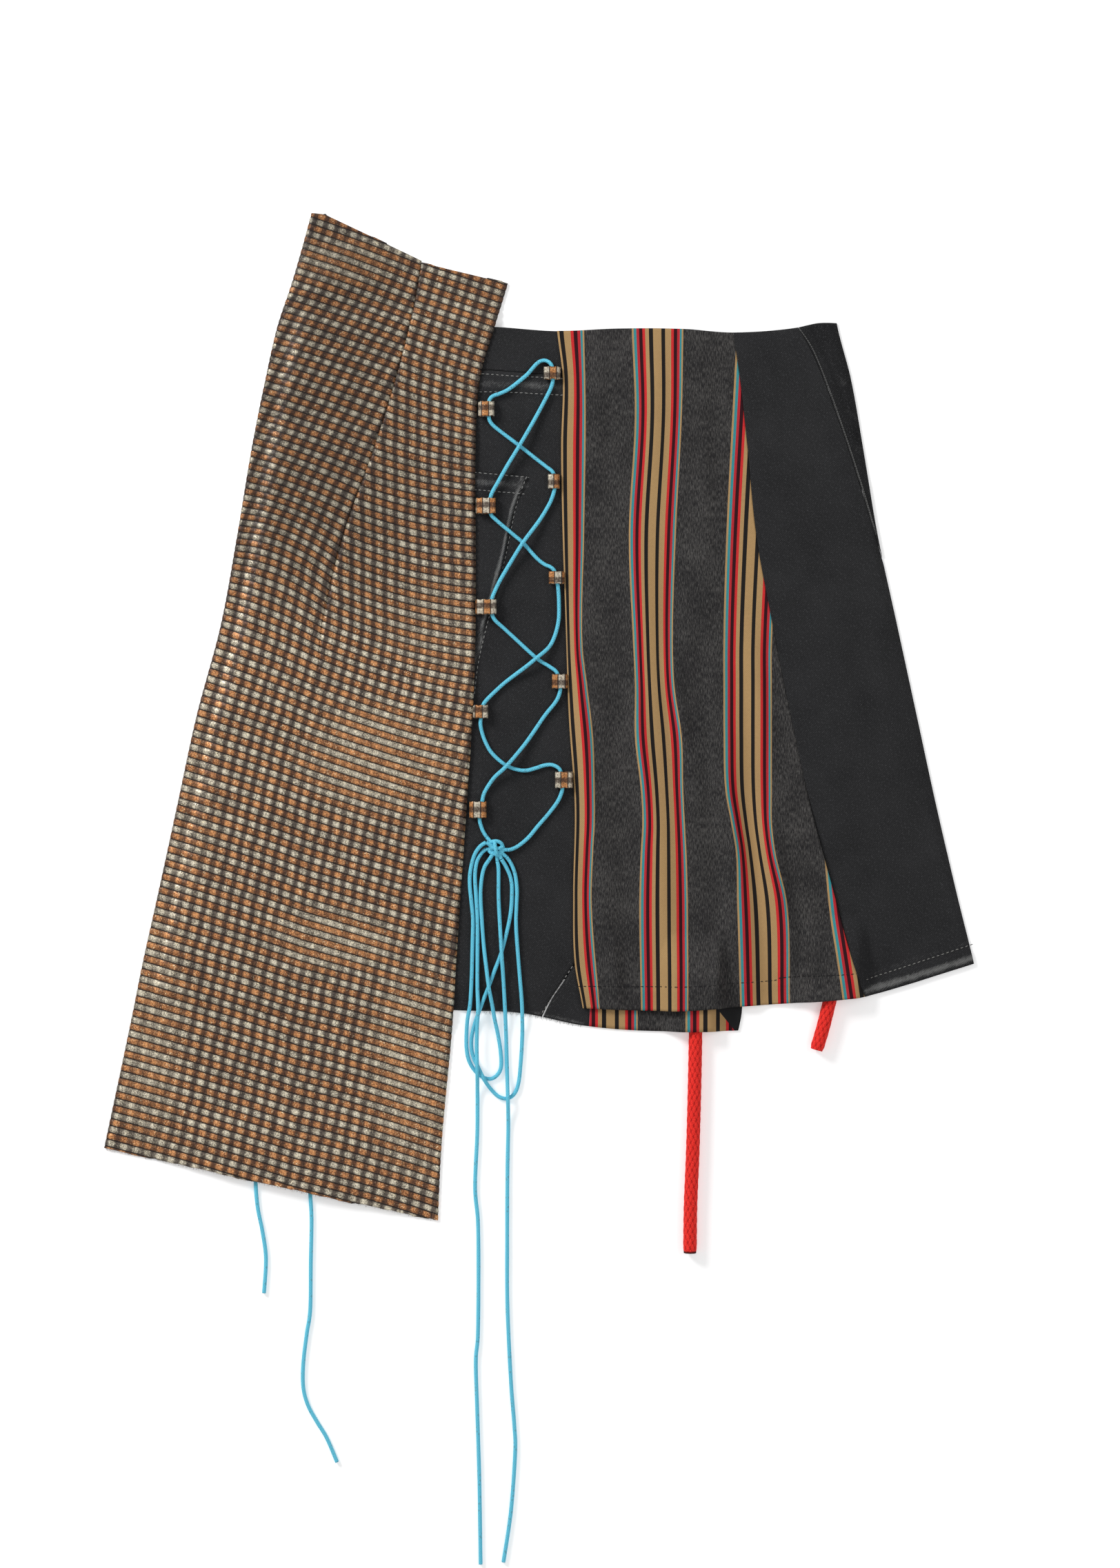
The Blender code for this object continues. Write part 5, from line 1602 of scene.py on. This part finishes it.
def fray(name, points, heights, finish, lengths, seed):
    """Loose threads along a cut edge, each a thin cone that lies on the table or the cloth."""
    shake = random.Random(seed)
    mesh = bmesh.new()
    for x, y, turn in row_places(points, FRAY_STEP):
        reach = shake.uniform(*lengths)
        lean = turn - math.pi / 2 + shake.uniform(-FRAY_LEAN, FRAY_LEAN)
        z = float(heights(np.array([x]), np.array([y]))[0]) - shake.uniform(*FRAY_DEPTHS)
        tip = Vector((math.cos(lean), math.sin(lean), 0.0))
        middle = Vector((x, y, max(z, FRAY_LOWEST))) + tip * (reach / 2 - FRAY_ROOT)
        laid = Matrix.Rotation(lean, 4, "Z") @ Matrix.Rotation(math.radians(90), 4, "Y")
        bmesh.ops.create_cone(
            mesh, cap_ends=True, segments=3, radius1=FRAY_RADII[0] * MM,
            radius2=FRAY_RADII[1] * MM, depth=reach * MM,
            matrix=Matrix.Translation(middle * MM) @ laid,
        )
    finished(name, mesh, finish, smooth=False)


def set_camera():
    """Straight down on the skirt, as in the photo."""
    data = bpy.data.cameras.new("camera")
    data.lens = LENS
    data.sensor_fit = "VERTICAL"
    data.sensor_height = SENSOR
    data.clip_end = 20.0
    camera = bpy.data.objects.new("camera", data)
    bpy.context.scene.collection.objects.link(camera)
    away = PHOTO_HEIGHT * LENS / SENSOR
    camera.location = Vector((*PHOTO_MIDDLE, away)) * MM
    bpy.context.scene.camera = camera


# Lamps: where each hangs and its size, in metres, and its power in watts
LIGHTS = (
    ("lamp_left", (-1.5, 1.3, 1.2), 0.9, 44.0),
    ("lamp_right", (1.4, 0.4, 1.7), 1.3, 9.0),
    ("lamp_foot", (0.1, -1.6, 1.7), 1.3, 7.0),
)
WORLD_LIGHT = 0.40
FLOOR_GLOW = 0.28
# The table: half its side in metres, and how far it lies under the skirt, in millimetres
TABLE_SIZE = 4.0
TABLE_DROP = 0.2


def set_lights():
    for name, where, size, power in LIGHTS:
        data = bpy.data.lights.new(name, "AREA")
        data.shape = "DISK"
        data.size = size
        data.energy = power
        lamp = bpy.data.objects.new(name, data)
        bpy.context.scene.collection.objects.link(lamp)
        lamp.location = where
        lamp.rotation_euler = (-Vector(where)).to_track_quat("-Z", "Y").to_euler()
    world = bpy.data.worlds.new("studio")
    world.use_nodes = True
    world.node_tree.nodes["Background"].inputs["Color"].default_value = (1.0, 1.0, 1.0, 1.0)
    world.node_tree.nodes["Background"].inputs["Strength"].default_value = WORLD_LIGHT
    bpy.context.scene.world = world
    bpy.context.scene.view_settings.view_transform = "Standard"


def set_floor():
    mesh = bmesh.new()
    bmesh.ops.create_grid(mesh, x_segments=1, y_segments=1, size=TABLE_SIZE)
    bmesh.ops.translate(mesh, verts=mesh.verts, vec=(0.0, 0.0, -TABLE_DROP * MM))
    data = bpy.data.meshes.new("table")
    mesh.to_mesh(data)
    mesh.free()
    data.materials.append(floor_finish())
    table = bpy.data.objects.new("table", data)
    bpy.context.scene.collection.objects.link(table)


set_camera()
set_lights()
set_floor()

blue = lace_finish()
red = rope_finish()
knot = tie_knot(blue)
CORDS = (
    ("lace_first_half", LACE_FIRST_HALF, "object", [knot]),
    ("lace_second_half", LACE_SECOND_HALF, "object", ()),
    ("bow_loop_short", BOW_LOOP_SHORT, "object", ()),
    ("bow_loop_long", BOW_LOOP_LONG, "object", ()),
    ("lace_tail_left", TAIL_LEFT, "bare", ()),
    ("lace_tail_right", TAIL_RIGHT, "bare", ()),
    ("hem_cord_left", HEM_CORD_LEFT, "bare", ()),
    ("hem_cord_middle", HEM_CORD_MIDDLE, "bare", ()),
)
for name, route, far_end, with_pieces in CORDS:
    lay_lace(name, route, blue)
lay_rope("rope_middle", ROPE_MIDDLE, red, 1.0)
lay_rope("rope_right", ROPE_RIGHT, red, 0.0)


def jeans_top(x, y):
    return under_jeans(x, y) + jeans_thick(x, y)


def stripes_top(x, y):
    soft = creases(STRIPE_CREASES, x, y) + STRIPE_WAVES[0] + uneven(STRIPE_WAVES, x, y)
    return under_stripes(x, y) + stripes_thick(x, y) + soft


def side_top(x, y):
    inside = smooth_step(right_edge(y) - x, 0.0, 8.0)
    soft = creases(SIDE_CREASES, x, y) + SIDE_WAVES[0] + uneven(SIDE_WAVES, x, y)
    return under_side(x, y) + side_thick(x, y) + soft * inside


def strap_top(x, y):
    return under_side(x, y) + strap_thick(x, y)


def seen_jeans(x, y):
    """The open strip of jeans between the two panels, where creases can rise freely."""
    return smooth_step(x - check_right(y), 1.0, 6.0) * smooth_step(stripe_left(y) - x, 1.0, 6.0)


def body_top(x, y):
    rise = creases(JEANS_CREASES, x, y) + JEANS_WAVES[0] + uneven(JEANS_WAVES, x, y)
    return jeans_top(x, y) + rise * seen_jeans(x, y)


def pocket_face(x, y):
    return POCKET_BASE + POCKET_THICK + uneven(POCKET_WAVES, x, y)


def body_and_pocket(x, y):
    """The denim under the lacing, with the pocket's face where its stitches cross it."""
    on_pocket = (x < pocket_right(y)) & (y < pocket_top(x)) & (y > 0)
    return np.maximum(body_top(x, y), np.where(on_pocket, POCKET_BASE + POCKET_THICK, 0.0))


def worn(rows):
    return {"worn": lambda x, y: near(rows, x, y)}


def fell_line(x):
    return FELL_Y + FELL_SLOPE * x + FELL_HALF + YOKE_STEP


def body_right(y):
    return np.minimum(under_join(y), gusset_seam(y))


def panel_right(y):
    return np.minimum(right_edge(y), strap_seam(y) - GAP)


back_place = spread_between(
    shifted(hidden_left, SIDE_ROLL + GAP), shifted(right_edge, -SIDE_ROLL - GAP),
    shifted(waist, -WAIST_STEP), back_hem,
)
yoke_place = spread_between(hidden_left, under_join, waist, shifted(fell_line, GAP))
body_place = spread_between(hidden_left, body_right, fell_line, under_hem)
gusset_place = spread_between(
    shifted(gusset_seam, 3 * GAP), under_join, level(GUSSET_TOP), under_hem
)
pocket_place = spread_between(pocket_left, pocket_right, pocket_top, pocket_foot)
under_place = spread_between(shifted(under_join, SEAM), under_right, waist, under_hem)
striped_place = spread_between(stripe_left, side_seam, waist, front_hem)
side_place = spread_between(shifted(side_seam, SEAM), panel_right, waist, front_hem)
strap_place = spread_between(strap_seam, right_edge, waist, level(STRAP_FOOT))

denim = (denim_finish(), "black_denim")
stripes = (striped_finish(), "striped_cotton")
check = foil_check_finish()


def lay_panel(name, place, counts, top, thick, cloth, weave=None, marks=None):
    """One sewn panel in the place of its solid, with its flat size."""
    piece = lay_cloth(name + "_cloth", place, counts, top, thick, *cloth, weave, marks)
    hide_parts(name)
    flat, area = flat_size(place)


lay_panel(
    "back_panel", back_place, (30, 40), lambda x, y: np.full_like(x, BACK_THICK), BACK_THICK,
    denim,
)
lay_panel(
    "jeans_yoke", yoke_place, (110, 24), jeans_top, DENIM_THICK, denim,
    marks=worn(JEANS_WEAR),
)
lay_panel(
    "jeans_body", body_place, (110, 220), body_top, DENIM_THICK, denim,
    marks=worn(JEANS_WEAR),
)
lay_panel(
    "jeans_gusset", gusset_place, (24, 40), jeans_top, DENIM_THICK, denim,
    marks=worn(JEANS_WEAR),
)
lay_panel(
    "jeans_pocket", pocket_place, (70, 80), pocket_face, POCKET_THICK, denim,
    marks=worn(JEANS_WEAR),
)
lay_panel(
    "under_stripes", under_place, (50, 160), lambda x, y: under_jeans(x, y) + DENIM_THICK,
    DENIM_THICK, stripes, under_stripe_weave, {"turned": turned_corner},
)
lay_panel(
    "striped_panel", striped_place, (130, 260), stripes_top, STRIPE_THICK, stripes,
    stripe_weave,
)
lay_panel(
    "side_panel", side_place, (90, 220), side_top, DENIM_THICK, denim,
    marks=worn(SIDE_WEAR),
)
lay_panel(
    "side_strap", strap_place, (30, 90), strap_top, DENIM_THICK, denim,
    marks=worn(STRAP_WEAR) | {"deep": lambda x, y: np.ones_like(x)},
)
lay_check(check)

silver_first = loop_check_finish("foil_check_silver_first", False)
copper_first = loop_check_finish("foil_check_copper_first", True)
COPPER_TIPS = ("loop_left_2", "loop_left_5", "loop_right_3", "loop_right_4")
for row in LOOPS:
    fold_loop(row, copper_first if row[0] in COPPER_TIPS else silver_first)

SEWN = (
    ("jeans_stitches", body_and_pocket, "white_thread", "black_denim"),
    ("stripe_stitches", stripes_top, "black_thread", "striped_cotton"),
    ("side_stitches", side_top, "grey_thread", "black_denim"),
    ("strap_stitches", strap_top, "pale_thread", "black_denim"),
)
for name, heights, thread, slot in SEWN:
    sew(name, heights, thread_finish(thread, THREADS[name]))

JEANS_EDGE = ((687, 1465.5), (755, 1469), (802, 1478), (843, 1487))
CHECK_EDGE = ((155, 1666), (628, 1768))
black_fray = thread_finish("black_fray", (58, 58, 60))
brown_fray = thread_finish("brown_fray", (98, 72, 54))
fray("jeans_fray", JEANS_EDGE, jeans_top, black_fray, (1.2, 3.4), 5)
fray(
    "check_fray", CHECK_EDGE, lambda x, y: under_check(x, y) + CHECK_THICK, brown_fray,
    (0.8, 2.2), 6,
)
